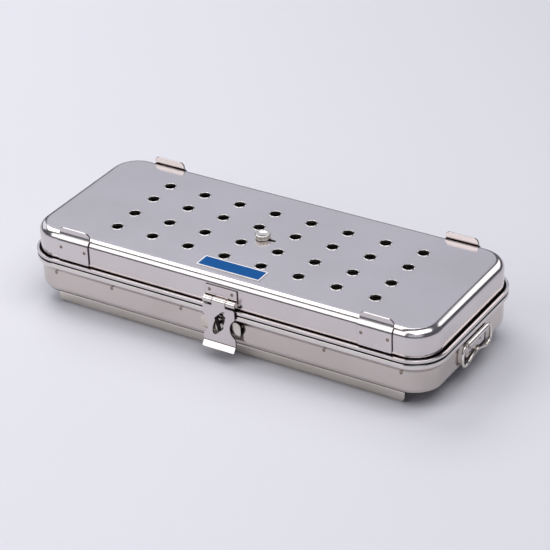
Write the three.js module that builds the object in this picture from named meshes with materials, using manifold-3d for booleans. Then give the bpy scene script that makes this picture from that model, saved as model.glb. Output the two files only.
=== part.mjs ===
import * as THREE from 'three';
import { mergeVertices } from 'three/addons/utils/BufferGeometryUtils.js';
import Module from 'manifold-3d';

// Sterilization case of drawn stainless sheet: a base on two foot rails, a lid hinged at the back
// with vent holes and a sliding shutter, a hasp and turn button in front and a bail at each end.
// Millimetres. X runs along the case, the latch side faces -Y, Z is up and 0 is the table.

// Case body
const caseLength = 302;
const caseWidth = 119;
const cornerRadius = 20;
const sheet = 0.9;
const lidDepth = 21.4;
const baseDepth = 25.6;
const lidEdgeRadius = 5.5;
const baseEdgeRadius = 6;
const collarRise = 7;
const collarTail = 6;
const collarJoggle = 1.5;

// Clearances
const lidFit = 0.4;
const seatGap = 0.1;
const runGap = 0.3;
const boreGap = 0.2;
const overrun = 2;

// Rim: the lid's flange turned up into a hemmed lip, and the band that carries it on the base
const lipReach = 3.1;
const lipHem = 1.8;
const lipRise = 2.85;
const lipBend = 1.8;
const bandBend = 1.5;
const bandFace = 2.2;
const bandDrop = 7;

// Foot rails
const footHeight = 11;
const railLength = 265;
const railOffset = -2;
const railInset = 8;
const railSheet = 1.2;
const railFlange = 9;
const railReturn = 5;
const railCornerRadius = 6;

// Vent holes and shutter
const ventDiameter = 7.5;
const ventPitch = 28;
const ventColumns = 8;
const ventOffset = 1;
const ventRowOffsets = [-31.9, -11.3, 11.3, 31.9];
const shutterTravel = 8.4;
const shutterSheet = 0.8;
const shutterOverlap = 4;
const shutterCornerRadius = 3;
const guideLength = 200;
const guideSheet = 0.8;
const guideFlange = 5;
const guideLedge = 3;
const slotWidth = 2.8;
const studRadius = 1.2;
const knobRadius = 5;
const knobHeight = 3.2;
const knobKnurlDepth = 0.3;
const knobKnurls = 24;
const nutWidth = 5.5;
const nutHeight = 1.8;
const studEnd = 0.4;

// Stacking brackets
const bracketSheet = 1;
const bracketWidth = 24.3;
const bracketInset = 37.1;
const bracketWrapAngle = 58;
const tabRise = 4.9;
const tabUpright = 2.2;
const tabLean = 1.6;
const tabFlare = 0.6;
const tabCornerRadius = 3.5;
const bracketCornerRadius = 1;

// Plate for a name on the lid, left bare
const namePlateLength = 46;
const namePlateWidth = 11.5;
const namePlateSheet = 0.4;
const namePlateX = 0.2;
const namePlateY = -43.1;
const namePlateRadius = 0.8;

// Latch: leaf on the lid, hasp, keeper and turn button on the base
const latchX = 2;
const latchWidth = 24;
const latchSheet = 1;
const latchBarrelRadius = 2.4;
const latchKnuckle = 10;
const latchPinRadius = 0.9;
const latchAxisRise = 7;
const latchLeafRise = 9.7;
const haspDrop = 29.9;
const haspCornerRadius = 1.2;
const haspLip = 4.8;
const haspLipAngle = 35;
const haspWaistDrop = 17;
const haspWaistDepth = 4;
const haspWaistHalfHeight = 7.2;
const apertureDrop = 14.8;
const apertureLength = 20;
const apertureWidth = 6.6;
const apertureTilt = 25;
const keeperWidth = 30;
const keeperSheet = 1;
const keeperStandOff = 1.9;
const keeperRise = 2.4;
const keeperFootHeight = 3;
const keeperDrop = 11.5;
const keeperTopRadius = 3;
const keeperLowerRadius = 7;
const washerRadius = 1.9;
const washerThickness = 0.5;
const spindleRadius = 1.1;
const buttonLength = 10.6;
const buttonWidth = 2.8;
const buttonThickness = 1.2;
const buttonLean = 14;

// Hinges at the back
const hingeOffset = 60;
const hingeWidth = 30;
const hingeKnuckle = 11;
const hingeSheet = 1;
const hingeBarrelRadius = 1.75;
const hingePinRadius = 0.8;
const hingeSideGap = 0.4;
const hingeLidLeaf = 9.5;
const hingeBaseLeaf = 8.5;

// Handles at the ends
const bracketPlateWidth = 26;
const bracketPlateHeight = 10.2;
const bracketPlateSheet = 1;
const handleBarrelRadius = 2.1;
const bailWireRadius = 1;
const handleOffset = 1.5;
const bailPivotDrop = 8.8;
const bailHalfWidth = 19.5;
const bailDepth = 14;
const bailDip = 3.6;
const bailSocket = 10;
const bailElbow = 1.5;

// Fineness of the round shapes
const cornerSteps = 7;
const filletSteps = 5;
const bendSteps = 3;
const roundSides = 20;
const ventSides = 12;
const bailSteps = 64;
const bailSides = 8;
const apertureSides = 32;

// Heights and planes that follow from the sizes above
const partingZ = footHeight + baseDepth;
const lidTopZ = partingZ + lidDepth;
const lidUndersideZ = lidTopZ - sheet;
const bandTopZ = partingZ - runGap;
const bandLowerZ = bandTopZ - bandDrop;
const lipTopZ = partingZ + lipRise;
const wallX = caseLength / 2;
const wallY = caseWidth / 2;

const wasm = await Module();
wasm.setup();

function degrees(angle) {
  return angle * Math.PI / 180;
}

function toSolid(geometry) {
  const bare = geometry.clone();
  bare.deleteAttribute('normal');
  bare.deleteAttribute('uv');
  const merged = mergeVertices(bare, seatGap / 1000);
  const count = merged.attributes.position.count;
  const triVerts = merged.index ? Uint32Array.from(merged.index.array) : Uint32Array.from(
    { length: count }, (_, i) => i);
  return new wasm.Manifold(new wasm.Mesh({
    numProp: 3,
    vertProperties: Float32Array.from(merged.attributes.position.array),
    triVerts,
  }));
}

function toGeometry(solid) {
  const mesh = solid.getMesh();
  const geometry = new THREE.BufferGeometry();
  geometry.setAttribute('position', new THREE.BufferAttribute(new Float32Array(mesh.vertProperties), 3));
  geometry.setIndex(new THREE.BufferAttribute(new Uint32Array(mesh.triVerts), 1));
  geometry.computeVertexNormals();
  return geometry;
}

function joined(first, ...others) {
  return others.reduce((solid, other) => solid.add(other), first);
}

function cutFrom(first, ...tools) {
  return tools.reduce((solid, tool) => solid.subtract(tool), first);
}

// Rings of the case's plan, each set in by its own inset at its own height. An open run of rings
// is closed by a flat face at each end, and a closed run is a band round the case.
function planLoft(profile, closed) {
  const positions = [];
  const index = [];
  const ringSize = 4 * (cornerSteps + 1);
  for (const [inset, z] of profile) {
    for (let corner = 0; corner < 4; corner += 1) {
      const signX = corner === 0 || corner === 3 ? 1 : -1;
      const signY = corner < 2 ? 1 : -1;
      for (let step = 0; step <= cornerSteps; step += 1) {
        const angle = (corner + step / cornerSteps) * Math.PI / 2;
        positions.push(
          signX * (wallX - cornerRadius) + (cornerRadius - inset) * Math.cos(angle),
          signY * (wallY - cornerRadius) + (cornerRadius - inset) * Math.sin(angle),
          z);
      }
    }
  }
  const rings = profile.length;
  for (let ring = 0; ring < (closed ? rings : rings - 1); ring += 1) {
    const here = ring * ringSize;
    const next = ((ring + 1) % rings) * ringSize;
    for (let k = 0; k < ringSize; k += 1) {
      const after = (k + 1) % ringSize;
      index.push(next + k, next + after, here + after);
      index.push(next + k, here + after, here + k);
    }
  }
  if (!closed) {
    const last = (rings - 1) * ringSize;
    for (let k = 1; k < ringSize - 1; k += 1) {
      index.push(0, k, k + 1);
      index.push(last, last + k + 1, last + k);
    }
  }
  const geometry = new THREE.BufferGeometry();
  geometry.setAttribute('position', new THREE.Float32BufferAttribute(positions, 3));
  geometry.setIndex(index);
  geometry.computeVertexNormals();
  return geometry;
}

// Points of an arc round (centreX, centreY), from one angle to another in degrees
function arc(centreX, centreY, radius, from, to, steps) {
  return Array.from({ length: steps + 1 }, (_, i) => {
    const angle = degrees(from + (to - from) * i / steps);
    return [centreX + radius * Math.cos(angle), centreY + radius * Math.sin(angle)];
  });
}

function shapeOf(points) {
  return new THREE.Shape(points.map(([x, y]) => new THREE.Vector2(x, y)));
}

// Outline of a bent sheet: the line of its inner face, and the same line set off to the left
function bentSheet(line, thickness) {
  const normals = line.slice(1).map(([x, y], i) => {
    const length = Math.hypot(x - line[i][0], y - line[i][1]);
    return [-(y - line[i][1]) / length, (x - line[i][0]) / length];
  });
  const outer = line.map(([x, y], i) => {
    const before = normals[Math.max(i - 1, 0)];
    const after = normals[Math.min(i, normals.length - 1)];
    const sumX = before[0] + after[0];
    const sumY = before[1] + after[1];
    const scale = 2 * thickness / (sumX * sumX + sumY * sumY);
    return [x + sumX * scale, y + sumY * scale];
  });
  return shapeOf([...line, ...outer.reverse()]);
}

// Side section (out, up) carried along the wall and centred on it
function sideSection(shape, width) {
  const geometry = new THREE.ExtrudeGeometry(shape, { depth: width, bevelEnabled: false, curveSegments: 6 });
  geometry.translate(0, 0, -width / 2);
  geometry.rotateX(Math.PI / 2);
  return geometry;
}

// Outline seen from in front of the wall (along, up), carried outwards from one depth to another
function frontOutline(shape, from, to) {
  const geometry = new THREE.ExtrudeGeometry(shape, {
    depth: to - from, bevelEnabled: false, curveSegments: apertureSides / 4,
  });
  geometry.translate(0, 0, from);
  geometry.applyMatrix4(new THREE.Matrix4().makeBasis(
    new THREE.Vector3(0, 1, 0), new THREE.Vector3(0, 0, 1), new THREE.Vector3(1, 0, 0)));
  return geometry;
}

// Round bar along the wall, at a place given outwards and up
function barAlong(radius, length, out, up, along = 0) {
  const geometry = new THREE.CylinderGeometry(radius, radius, length, roundSides);
  geometry.translate(out, along, up);
  return geometry;
}

function uprightBar(radius, fromZ, toZ, x, y, sides) {
  const geometry = new THREE.CylinderGeometry(radius, radius, toZ - fromZ, sides);
  geometry.rotateX(Math.PI / 2);
  geometry.translate(x, y, (fromZ + toZ) / 2);
  return geometry;
}

function box(fromX, toX, fromY, toY, fromZ, toZ) {
  const geometry = new THREE.BoxGeometry(toX - fromX, toY - fromY, toZ - fromZ);
  geometry.translate((fromX + toX) / 2, (fromY + toY) / 2, (fromZ + toZ) / 2);
  return geometry;
}

function roundedRect(width, height, radius, centreX = 0, centreY = 0) {
  const right = width / 2 - radius;
  const top = height / 2 - radius;
  return shapeOf([
    ...arc(centreX + right, centreY + top, radius, 0, 90, bendSteps),
    ...arc(centreX - right, centreY + top, radius, 90, 180, bendSteps),
    ...arc(centreX - right, centreY - top, radius, 180, 270, bendSteps),
    ...arc(centreX + right, centreY - top, radius, 270, 360, bendSteps),
  ]);
}

function stadium(length, width) {
  const reach = (length - width) / 2;
  return [
    ...arc(reach, 0, width / 2, -90, 90, bendSteps * 2),
    ...arc(-reach, 0, width / 2, 90, 270, bendSteps * 2),
  ];
}

// Materials
const satinSteel = new THREE.MeshStandardMaterial({ color: 0xc3bcbd, roughness: 0.35, metalness: 1 });
const topSteel = new THREE.MeshStandardMaterial({ color: 0xb9b6c0, roughness: 0.4, metalness: 1 });
const rimSteel = new THREE.MeshStandardMaterial({ color: 0xcfc9c8, roughness: 0.3, metalness: 1 });
const brightSteel = new THREE.MeshStandardMaterial({ color: 0xdcd8d4, roughness: 0.25, metalness: 1 });
const darkSteel = new THREE.MeshStandardMaterial({ color: 0x3a3733, roughness: 0.4, metalness: 1 });
const blueEnamel = new THREE.MeshStandardMaterial({ color: 0x0a62b5, roughness: 0.45, metalness: 0.1 });

const sterilizationCase = new THREE.Group();

function addMesh(parent, name, geometry, material) {
  const mesh = new THREE.Mesh(geometry, material);
  mesh.name = name;
  parent.add(mesh);
  return mesh;
}

// Frame on one wall of the lid: local X points outwards from the wall's outer face, Z is up
const outwardAngles = { front: -90, rear: 90, right: 0, left: 180 };

function wallFrame(side, shiftX = 0, shiftY = 0) {
  const frame = new THREE.Group();
  frame.rotation.z = degrees(outwardAngles[side]);
  const reach = side === 'front' || side === 'rear' ? wallY : wallX;
  frame.position.set(reach * Math.round(Math.cos(frame.rotation.z)) + shiftX,
    reach * Math.round(Math.sin(frame.rotation.z)) + shiftY, 0);
  sterilizationCase.add(frame);
  return frame;
}

// Base pan, as wide outside as the lid, with its wall cut level under the lid's flange
function basePan() {
  const edge = baseEdgeRadius;
  return planLoft([
    ...arc(-edge, footHeight + edge, edge - sheet, -90, 0, filletSteps).map(([out, z]) => [-out, z]),
    [sheet, bandTopZ],
    [0, bandTopZ],
    ...arc(-edge, footHeight + edge, edge, 0, -90, filletSteps).map(([out, z]) => [-out, z]),
  ], false);
}

// Loop of the collar inside the base wall, joggled inwards where it stands up inside the lid
function collarLoop() {
  const wall = sheet + seatGap;
  const inside = sheet + lidFit;
  const joggleZ = bandTopZ - collarJoggle;
  const topZ = partingZ + collarRise;
  const lowerZ = partingZ - collarTail;
  return planLoft([
    [inside, topZ],
    [inside, bandTopZ],
    [wall, joggleZ],
    [wall, lowerZ],
    [wall + sheet, lowerZ],
    [wall + sheet, joggleZ],
    [inside + sheet, bandTopZ],
    [inside + sheet, topZ],
  ], true);
}

// The collar's four straight lengths and four corners, cut from one loop with a seat gap between
function collarLengths() {
  const loop = toSolid(collarLoop());
  const cornerX = wallX - cornerRadius;
  const cornerY = wallY - cornerRadius;
  const lengthX = cornerX - seatGap;
  const lengthY = cornerY - seatGap;
  const lengths = [
    ['front', -lengthX, lengthX, -wallY, 0],
    ['rear', -lengthX, lengthX, 0, wallY],
    ['left', -wallX, 0, -lengthY, lengthY],
    ['right', 0, wallX, -lengthY, lengthY],
    ['front_left', -wallX, -cornerX, -wallY, -cornerY],
    ['front_right', cornerX, wallX, -wallY, -cornerY],
    ['rear_left', -wallX, -cornerX, cornerY, wallY],
    ['rear_right', cornerX, wallX, cornerY, wallY],
  ];
  return lengths.map(([place, fromX, toX, fromY, toY]) => {
    const room = toSolid(box(fromX, toX, fromY, toY, 0, lidTopZ));
    return [place, toGeometry(loop.intersect(room))];
  });
}

// Band of folded sheet round the base, tapered below, flat on top where the lid comes down
function rimBand() {
  const wall = -seatGap;
  const faceEndZ = bandTopZ - bandFace;
  const inner = lipReach - sheet;
  const bendOut = lipReach - bandBend;
  return planLoft([
    [wall, bandTopZ],
    ...arc(bendOut, bandTopZ - bandBend, bandBend, 90, 0, bendSteps).map(([out, z]) => [-out, z]),
    [-lipReach, faceEndZ],
    [wall, bandLowerZ],
    [wall, bandLowerZ + sheet * Math.SQRT2],
    [-inner, faceEndZ + sheet * (Math.SQRT2 - 1)],
    ...arc(bendOut, bandTopZ - bandBend, bandBend - sheet, 0, 90, bendSteps).map(([out, z]) => [-out, z]),
    [wall, bandTopZ - sheet],
  ], true);
}

function ventPlaces() {
  const places = [];
  for (const y of ventRowOffsets) {
    for (let column = 0; column < ventColumns; column += 1) {
      places.push([ventOffset + (column - (ventColumns - 1) / 2) * ventPitch, y]);
    }
  }
  return places;
}

// Lid pan: rounded top edge, wall, flange at the parting line and the lip that stands up outside it
function lidPan() {
  const edge = lidEdgeRadius;
  const grooveZ = partingZ + sheet;
  const pan = toSolid(planLoft([
    ...arc(-edge, lidTopZ - edge, edge, 90, 0, filletSteps).map(([out, z]) => [-out, z]),
    [0, grooveZ],
    [lipHem - lipReach, grooveZ],
    [lipHem - lipReach, lipTopZ],
    [-lipReach, lipTopZ],
    ...arc(lipReach - lipBend, partingZ + lipBend, lipBend, 0, -90, bendSteps).map(([out, z]) => [-out, z]),
    [sheet, partingZ],
    ...arc(-edge, lidTopZ - edge, edge - sheet, 0, 90, filletSteps).map(([out, z]) => [-out, z]),
  ], false));
  const vents = ventPlaces().map(([x, y]) => toSolid(uprightBar(
    ventDiameter / 2, lidUndersideZ - overrun, lidTopZ + overrun, x, y, ventSides)));
  const slotLength = shutterTravel + slotWidth;
  const slot = new THREE.ExtrudeGeometry(shapeOf(stadium(slotLength, slotWidth)), {
    depth: sheet + overrun * 2, bevelEnabled: false,
  });
  slot.translate(ventOffset, 0, lidUndersideZ - overrun);
  return toGeometry(cutFrom(pan, ...vents, toSolid(slot)));
}

// Foot rail: channel of bent sheet, welded to the bottom by its upper flange
function footRail() {
  const face = -railInset;
  const top = footHeight - seatGap;
  const section = shapeOf([
    [face, 0],
    [face, top],
    [face - railFlange, top],
    [face - railFlange, top - railSheet],
    [face - railSheet, top - railSheet],
    [face - railSheet, railSheet],
    [face - railReturn, railSheet],
    [face - railReturn, 0],
  ]);
  const half = railLength / 2;
  const side = shapeOf([
    [half, top + overrun],
    [-half, top + overrun],
    ...arc(-half + railCornerRadius, railCornerRadius, railCornerRadius, 180, 270, bendSteps),
    ...arc(half - railCornerRadius, railCornerRadius, railCornerRadius, 270, 360, bendSteps),
  ]);
  return toGeometry(toSolid(sideSection(section, railLength + overrun))
    .intersect(toSolid(frontOutline(side, face - railFlange - overrun, face + overrun))));
}

// Shutter: plate under the lid top with the same holes, moved by a knob through the slot
const shutterTopZ = lidUndersideZ - runGap;
const shutterBottomZ = shutterTopZ - shutterSheet;
const shutterMargin = ventDiameter / 2 + shutterOverlap;
const shutterHalfLength = (ventColumns - 1) / 2 * ventPitch + shutterTravel + shutterMargin;
const shutterHalfWidth = Math.max(...ventRowOffsets) + shutterMargin;
const knobX = ventOffset - shutterTravel / 2;

function shutterPlate() {
  const outline = roundedRect(
    shutterHalfLength * 2, shutterHalfWidth * 2, shutterCornerRadius, ventOffset);
  for (const [x, y] of ventPlaces()) {
    outline.holes.push(new THREE.Path().absarc(x, y, ventDiameter / 2, 0, Math.PI * 2));
  }
  outline.holes.push(new THREE.Path().absarc(knobX, 0, studRadius + boreGap, 0, Math.PI * 2));
  const plate = new THREE.ExtrudeGeometry(outline, {
    depth: shutterSheet, bevelEnabled: false, curveSegments: ventSides / 2,
  });
  plate.translate(0, 0, shutterBottomZ);
  return plate;
}

function shutterGuide() {
  const top = lidUndersideZ - seatGap;
  const ledgeTop = shutterBottomZ - runGap;
  const web = shutterHalfWidth + runGap - wallY;
  return sideSection(shapeOf([
    [web + guideFlange, top - guideSheet],
    [web + guideFlange, top],
    [web, top],
    [web, ledgeTop],
    [web - guideLedge, ledgeTop],
    [web - guideLedge, ledgeTop - guideSheet],
    [web + guideSheet, ledgeTop - guideSheet],
    [web + guideSheet, top - guideSheet],
  ]), guideLength);
}

function shutterKnob() {
  const headZ = lidTopZ + runGap;
  const teeth = Array.from({ length: knobKnurls * 2 }, (_, i) => {
    const radius = i % 2 === 0 ? knobRadius : knobRadius - knobKnurlDepth;
    const angle = i * Math.PI / knobKnurls;
    return [radius * Math.cos(angle), radius * Math.sin(angle)];
  });
  const bevel = knobKnurlDepth * 2;
  const head = new THREE.ExtrudeGeometry(shapeOf(teeth), {
    depth: knobHeight - bevel * 2,
    bevelThickness: bevel,
    bevelSize: bevel,
    bevelOffset: -bevel,
    bevelSegments: 1,
  });
  head.translate(knobX, 0, headZ + bevel);
  const studBottomZ = shutterBottomZ - seatGap - nutHeight - studEnd;
  const stud = uprightBar(studRadius, studBottomZ, headZ + bevel, knobX, 0, ventSides);
  return toGeometry(toSolid(head).add(toSolid(stud)));
}

function knobNut() {
  const top = shutterBottomZ - seatGap;
  const corner = nutWidth / Math.sqrt(3);
  const nut = toSolid(uprightBar(corner, top - nutHeight, top, knobX, 0, 6));
  const bore = toSolid(uprightBar(
    studRadius + boreGap, top - nutHeight - overrun, top + overrun, knobX, 0, ventSides));
  return toGeometry(nut.subtract(bore));
}

// Stacking bracket: welded to the wall and wrapped over the rounded edge. Its tab stands above the
// lid, leaning inwards at first and flared out again at the top
function stackBracket() {
  const edge = lidEdgeRadius;
  const bottom = lipTopZ + runGap;
  const top = lidTopZ + tabRise;
  const wrap = arc(-edge, lidTopZ - edge, edge + seatGap, 0, bracketWrapAngle, filletSteps);
  const [wrapOut, wrapZ] = wrap[wrap.length - 1];
  const section = bentSheet([
    [wrapOut - tabLean + tabFlare, top],
    [wrapOut - tabLean, wrapZ + tabUpright],
    [wrapOut, wrapZ],
    ...wrap.slice(0, -1).reverse(),
    [seatGap, bottom],
  ], bracketSheet);
  const half = bracketWidth / 2;
  const upper = half - tabCornerRadius;
  const lower = half - bracketCornerRadius;
  const outline = shapeOf([
    ...arc(upper, top - tabCornerRadius, tabCornerRadius, 0, 90, filletSteps),
    ...arc(-upper, top - tabCornerRadius, tabCornerRadius, 90, 180, filletSteps),
    ...arc(-lower, bottom + bracketCornerRadius, bracketCornerRadius, 180, 270, bendSteps),
    ...arc(lower, bottom + bracketCornerRadius, bracketCornerRadius, 270, 360, bendSteps),
  ]);
  return toGeometry(toSolid(sideSection(section, bracketWidth + overrun))
    .intersect(toSolid(frontOutline(outline, -edge - overrun, bracketSheet + overrun * 2))));
}

// Bore through a hinge's knuckles that leaves its pin a running clearance
function pinBore(pinRadius, length, out, up) {
  return toSolid(barAlong(pinRadius + boreGap, length + overrun, out, up));
}

const latchAxisOut = seatGap + latchBarrelRadius;
const latchAxisZ = partingZ + latchAxisRise;

function latchLeaf() {
  const top = latchAxisZ + latchLeafRise;
  const half = latchWidth / 2;
  const plate = toSolid(box(seatGap, seatGap + latchSheet, -half, half, latchAxisZ, top));
  const outer = (latchWidth - latchKnuckle) / 2;
  const knuckles = [-1, 1].map((side) => toSolid(barAlong(latchBarrelRadius, outer - runGap,
    latchAxisOut, latchAxisZ, side * (latchWidth - outer + runGap) / 2)));
  const room = toSolid(box(seatGap - overrun, latchAxisOut + latchBarrelRadius + overrun,
    -latchKnuckle / 2 - runGap, latchKnuckle / 2 + runGap,
    latchAxisZ - latchBarrelRadius - overrun, latchAxisZ + latchBarrelRadius + runGap));
  return toGeometry(cutFrom(joined(plate, ...knuckles), room,
    pinBore(latchPinRadius, latchWidth, latchAxisOut, latchAxisZ)));
}

// Hasp: hangs from the middle knuckle in front of the rim, waisted, with a tilted aperture for the
// turn button and a lip flared outwards to lift it by
const haspFront = latchAxisOut + latchBarrelRadius;
const haspBack = haspFront - latchSheet;
const haspShoulderZ = latchAxisZ - latchBarrelRadius - runGap;
const haspBendZ = latchAxisZ - haspDrop;
const buttonZ = latchAxisZ - apertureDrop;

function hasp() {
  const lipOut = haspLip * Math.sin(degrees(haspLipAngle));
  const lipZ = haspBendZ - haspLip * Math.cos(degrees(haspLipAngle));
  const section = bentSheet([
    [haspBack, latchAxisZ],
    [haspBack, haspBendZ],
    [haspBack + lipOut, lipZ],
  ], latchSheet);
  const half = latchWidth / 2;
  const neck = latchKnuckle / 2;
  const waistZ = latchAxisZ - haspWaistDrop;
  const waistRadius = (haspWaistHalfHeight ** 2 + haspWaistDepth ** 2) / (2 * haspWaistDepth);
  const waistAngle = Math.asin(haspWaistHalfHeight / waistRadius) * 180 / Math.PI;
  const waistCentre = half - haspWaistDepth + waistRadius;
  const corner = haspCornerRadius;
  const bottom = lipZ - latchSheet - overrun;
  const trimmed = lipZ + corner;
  const outline = shapeOf([
    [neck, latchAxisZ + overrun],
    [-neck, latchAxisZ + overrun],
    [-neck, haspShoulderZ],
    ...arc(-half + corner, haspShoulderZ - corner, corner, 90, 180, bendSteps),
    ...arc(-waistCentre, waistZ, waistRadius, waistAngle, -waistAngle, filletSteps * 2),
    [-half, trimmed],
    [-half + corner, trimmed - corner],
    [-half + corner, bottom],
    [half - corner, bottom],
    [half - corner, trimmed - corner],
    [half, trimmed],
    ...arc(waistCentre, waistZ, waistRadius, 180 + waistAngle, 180 - waistAngle, filletSteps * 2),
    ...arc(half - corner, haspShoulderZ - corner, corner, 0, 90, bendSteps),
    [neck, haspShoulderZ],
  ]);
  outline.holes.push(new THREE.Path().absellipse(
    0, buttonZ, apertureWidth / 2, apertureLength / 2, 0, Math.PI * 2, false, degrees(-apertureTilt)));
  const plate = toSolid(sideSection(section, latchWidth + overrun))
    .intersect(toSolid(frontOutline(outline, -overrun, haspFront + lipOut + overrun)));
  const ring = toSolid(barAlong(latchBarrelRadius, latchKnuckle, latchAxisOut, latchAxisZ));
  return toGeometry(cutFrom(plate.add(ring), pinBore(latchPinRadius, latchWidth, latchAxisOut, latchAxisZ)));
}

// Keeper: welded to the base wall by its foot, its face raised behind the hasp to carry the turn
// button, whose spindle is held by a washer behind the face
const keeperFoot = seatGap;
const keeperFace = keeperFoot + keeperStandOff;
const washerBack = keeperFace - seatGap - washerThickness;

function keeperPlate() {
  const top = buttonZ + keeperRise;
  const bottom = buttonZ - keeperDrop;
  const section = bentSheet([
    [keeperFace, top],
    [keeperFace, bottom + keeperFootHeight + keeperStandOff],
    [keeperFoot, bottom + keeperFootHeight],
    [keeperFoot, bottom],
  ], keeperSheet);
  const half = keeperWidth / 2;
  const outline = shapeOf([
    ...arc(half - keeperTopRadius, top - keeperTopRadius, keeperTopRadius, 0, 90, bendSteps),
    ...arc(-half + keeperTopRadius, top - keeperTopRadius, keeperTopRadius, 90, 180, bendSteps),
    ...arc(-half + keeperLowerRadius, bottom + keeperLowerRadius, keeperLowerRadius, 180, 270, filletSteps),
    ...arc(half - keeperLowerRadius, bottom + keeperLowerRadius, keeperLowerRadius, 270, 360, filletSteps),
  ]);
  outline.holes.push(new THREE.Path().absarc(0, buttonZ, spindleRadius + boreGap, 0, Math.PI * 2));
  return toGeometry(toSolid(sideSection(section, keeperWidth + overrun))
    .intersect(toSolid(frontOutline(outline, keeperFoot - overrun, keeperFace + keeperSheet + overrun))));
}

function buttonWasher() {
  const circle = new THREE.Shape().absarc(0, buttonZ, washerRadius, 0, Math.PI * 2);
  circle.holes.push(new THREE.Path().absarc(0, buttonZ, spindleRadius + boreGap, 0, Math.PI * 2));
  return frontOutline(circle, washerBack, washerBack + washerThickness);
}

function turnButton() {
  const back = haspFront + lidFit;
  const lean = degrees(90 + buttonLean);
  const blade = shapeOf(stadium(buttonLength, buttonWidth).map(([x, y]) => [
    x * Math.cos(lean) - y * Math.sin(lean),
    x * Math.sin(lean) + y * Math.cos(lean) + buttonZ,
  ]));
  const spindle = new THREE.Shape().absarc(0, buttonZ, spindleRadius, 0, Math.PI * 2);
  return toGeometry(toSolid(frontOutline(blade, back, back + buttonThickness))
    .add(toSolid(frontOutline(spindle, washerBack - boreGap, back + buttonThickness / 2))));
}

// Rear hinge: both leaves step out past the rim to a barrel behind it, on the parting line
const hingeAxisOut = lipReach + hingeSideGap + hingeBarrelRadius;
const hingeLeafOut = lipReach + hingeSideGap;
const hingeEar = (hingeWidth - hingeKnuckle) / 2;

function hingeLidLeafSolid() {
  const stepZ = lipTopZ + runGap;
  const section = bentSheet([
    [seatGap, stepZ + hingeLidLeaf],
    [seatGap, stepZ],
    [hingeLeafOut, stepZ],
    [hingeLeafOut, partingZ],
  ], hingeSheet);
  const clearZ = partingZ + hingeBarrelRadius + runGap;
  const ears = [-1, 1].map((side) => {
    const middle = side * (hingeWidth - hingeEar + runGap) / 2;
    const half = (hingeEar + runGap + overrun) / 2;
    return toSolid(box(hingeLeafOut - overrun, hingeAxisOut + hingeBarrelRadius,
      middle - half + side * overrun / 2, middle + half + side * overrun / 2, partingZ - overrun, clearZ));
  });
  const ring = toSolid(barAlong(hingeBarrelRadius, hingeKnuckle, hingeAxisOut, partingZ));
  return toGeometry(cutFrom(cutFrom(toSolid(sideSection(section, hingeWidth)), ...ears).add(ring),
    pinBore(hingePinRadius, hingeWidth, hingeAxisOut, partingZ)));
}

function hingeBaseLeafSolid() {
  const turnZ = bandTopZ - bandFace - hingeSideGap;
  const lowerZ = bandLowerZ - hingeSideGap;
  const section = bentSheet([
    [hingeLeafOut, partingZ],
    [hingeLeafOut, turnZ],
    [seatGap, lowerZ],
    [seatGap, lowerZ - hingeBaseLeaf],
  ], hingeSheet);
  const room = toSolid(box(hingeLeafOut - overrun, hingeAxisOut + hingeBarrelRadius,
    -hingeKnuckle / 2 - runGap, hingeKnuckle / 2 + runGap,
    partingZ - hingeBarrelRadius - runGap, partingZ + overrun));
  const rings = [-1, 1].map((side) => toSolid(barAlong(hingeBarrelRadius, hingeEar - runGap,
    hingeAxisOut, partingZ, side * (hingeWidth - hingeEar + runGap) / 2)));
  return toGeometry(cutFrom(joined(cutFrom(toSolid(sideSection(section, hingeWidth)), room), ...rings),
    pinBore(hingePinRadius, hingeWidth, hingeAxisOut, partingZ)));
}

// Handle: bracket with a rolled upper edge on the end wall, and a wire bail that hangs in it
const handleAxisZ = partingZ - bailPivotDrop;
const handleAxisOut = seatGap + handleBarrelRadius;

function handleBracket() {
  const half = bracketPlateWidth / 2;
  const plate = toSolid(box(seatGap, seatGap + bracketPlateSheet, -half, half,
    handleAxisZ - bracketPlateHeight, handleAxisZ));
  const barrel = toSolid(barAlong(handleBarrelRadius, bracketPlateWidth, handleAxisOut, handleAxisZ));
  const bore = toSolid(barAlong(
    bailWireRadius + boreGap, bracketPlateWidth + overrun, handleAxisOut, handleAxisZ));
  return toGeometry(joined(plate, barrel).subtract(bore));
}

// One half of the bail's line from its end in the barrel to the middle of the grip: (along, down),
// along as shares of the half width and down as shares of the depth
const bailLineShares = [
  [0.86, 0.035],
  [0.93, 0.13],
  [0.985, 0.34],
  [1, 0.6],
  [0.955, 0.84],
  [0.83, 0.975],
  [0.68, 0.995],
  [0.5, 0.93],
  [0.33, 0.84],
  [0.17, 0.78],
];

function bail() {
  const socketEnd = bracketPlateWidth / 2;
  const half = [
    [socketEnd - bailSocket, 0],
    [socketEnd - bailSocket / 2, 0],
    [socketEnd, 0],
    [socketEnd + bailElbow, 0],
    ...bailLineShares.map(([along, down]) => [along * bailHalfWidth, down * bailDepth]),
  ];
  const middle = [[0, bailDepth - bailDip]];
  const line = [...half, ...middle, ...half.map(([along, down]) => [-along, down]).reverse()];
  const curve = new THREE.CatmullRomCurve3(line.map(([along, down]) => new THREE.Vector3(
    handleAxisOut, along, handleAxisZ - down)), false, 'centripetal');
  const circle = shapeOf(arc(0, 0, bailWireRadius, 0, 360, bailSides).slice(0, -1));
  return new THREE.ExtrudeGeometry(circle, { steps: bailSteps, extrudePath: curve, bevelEnabled: false });
}

// Base
addMesh(sterilizationCase, 'base_shell', basePan(), satinSteel);
for (const [place, geometry] of collarLengths()) {
  addMesh(sterilizationCase, `inner_collar_${place}`, geometry, satinSteel);
}
addMesh(sterilizationCase, 'rim_band', rimBand(), rimSteel);
for (const side of ['front', 'rear']) {
  addMesh(wallFrame(side, railOffset), `foot_rail_${side}`, footRail(), satinSteel);
}

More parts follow.
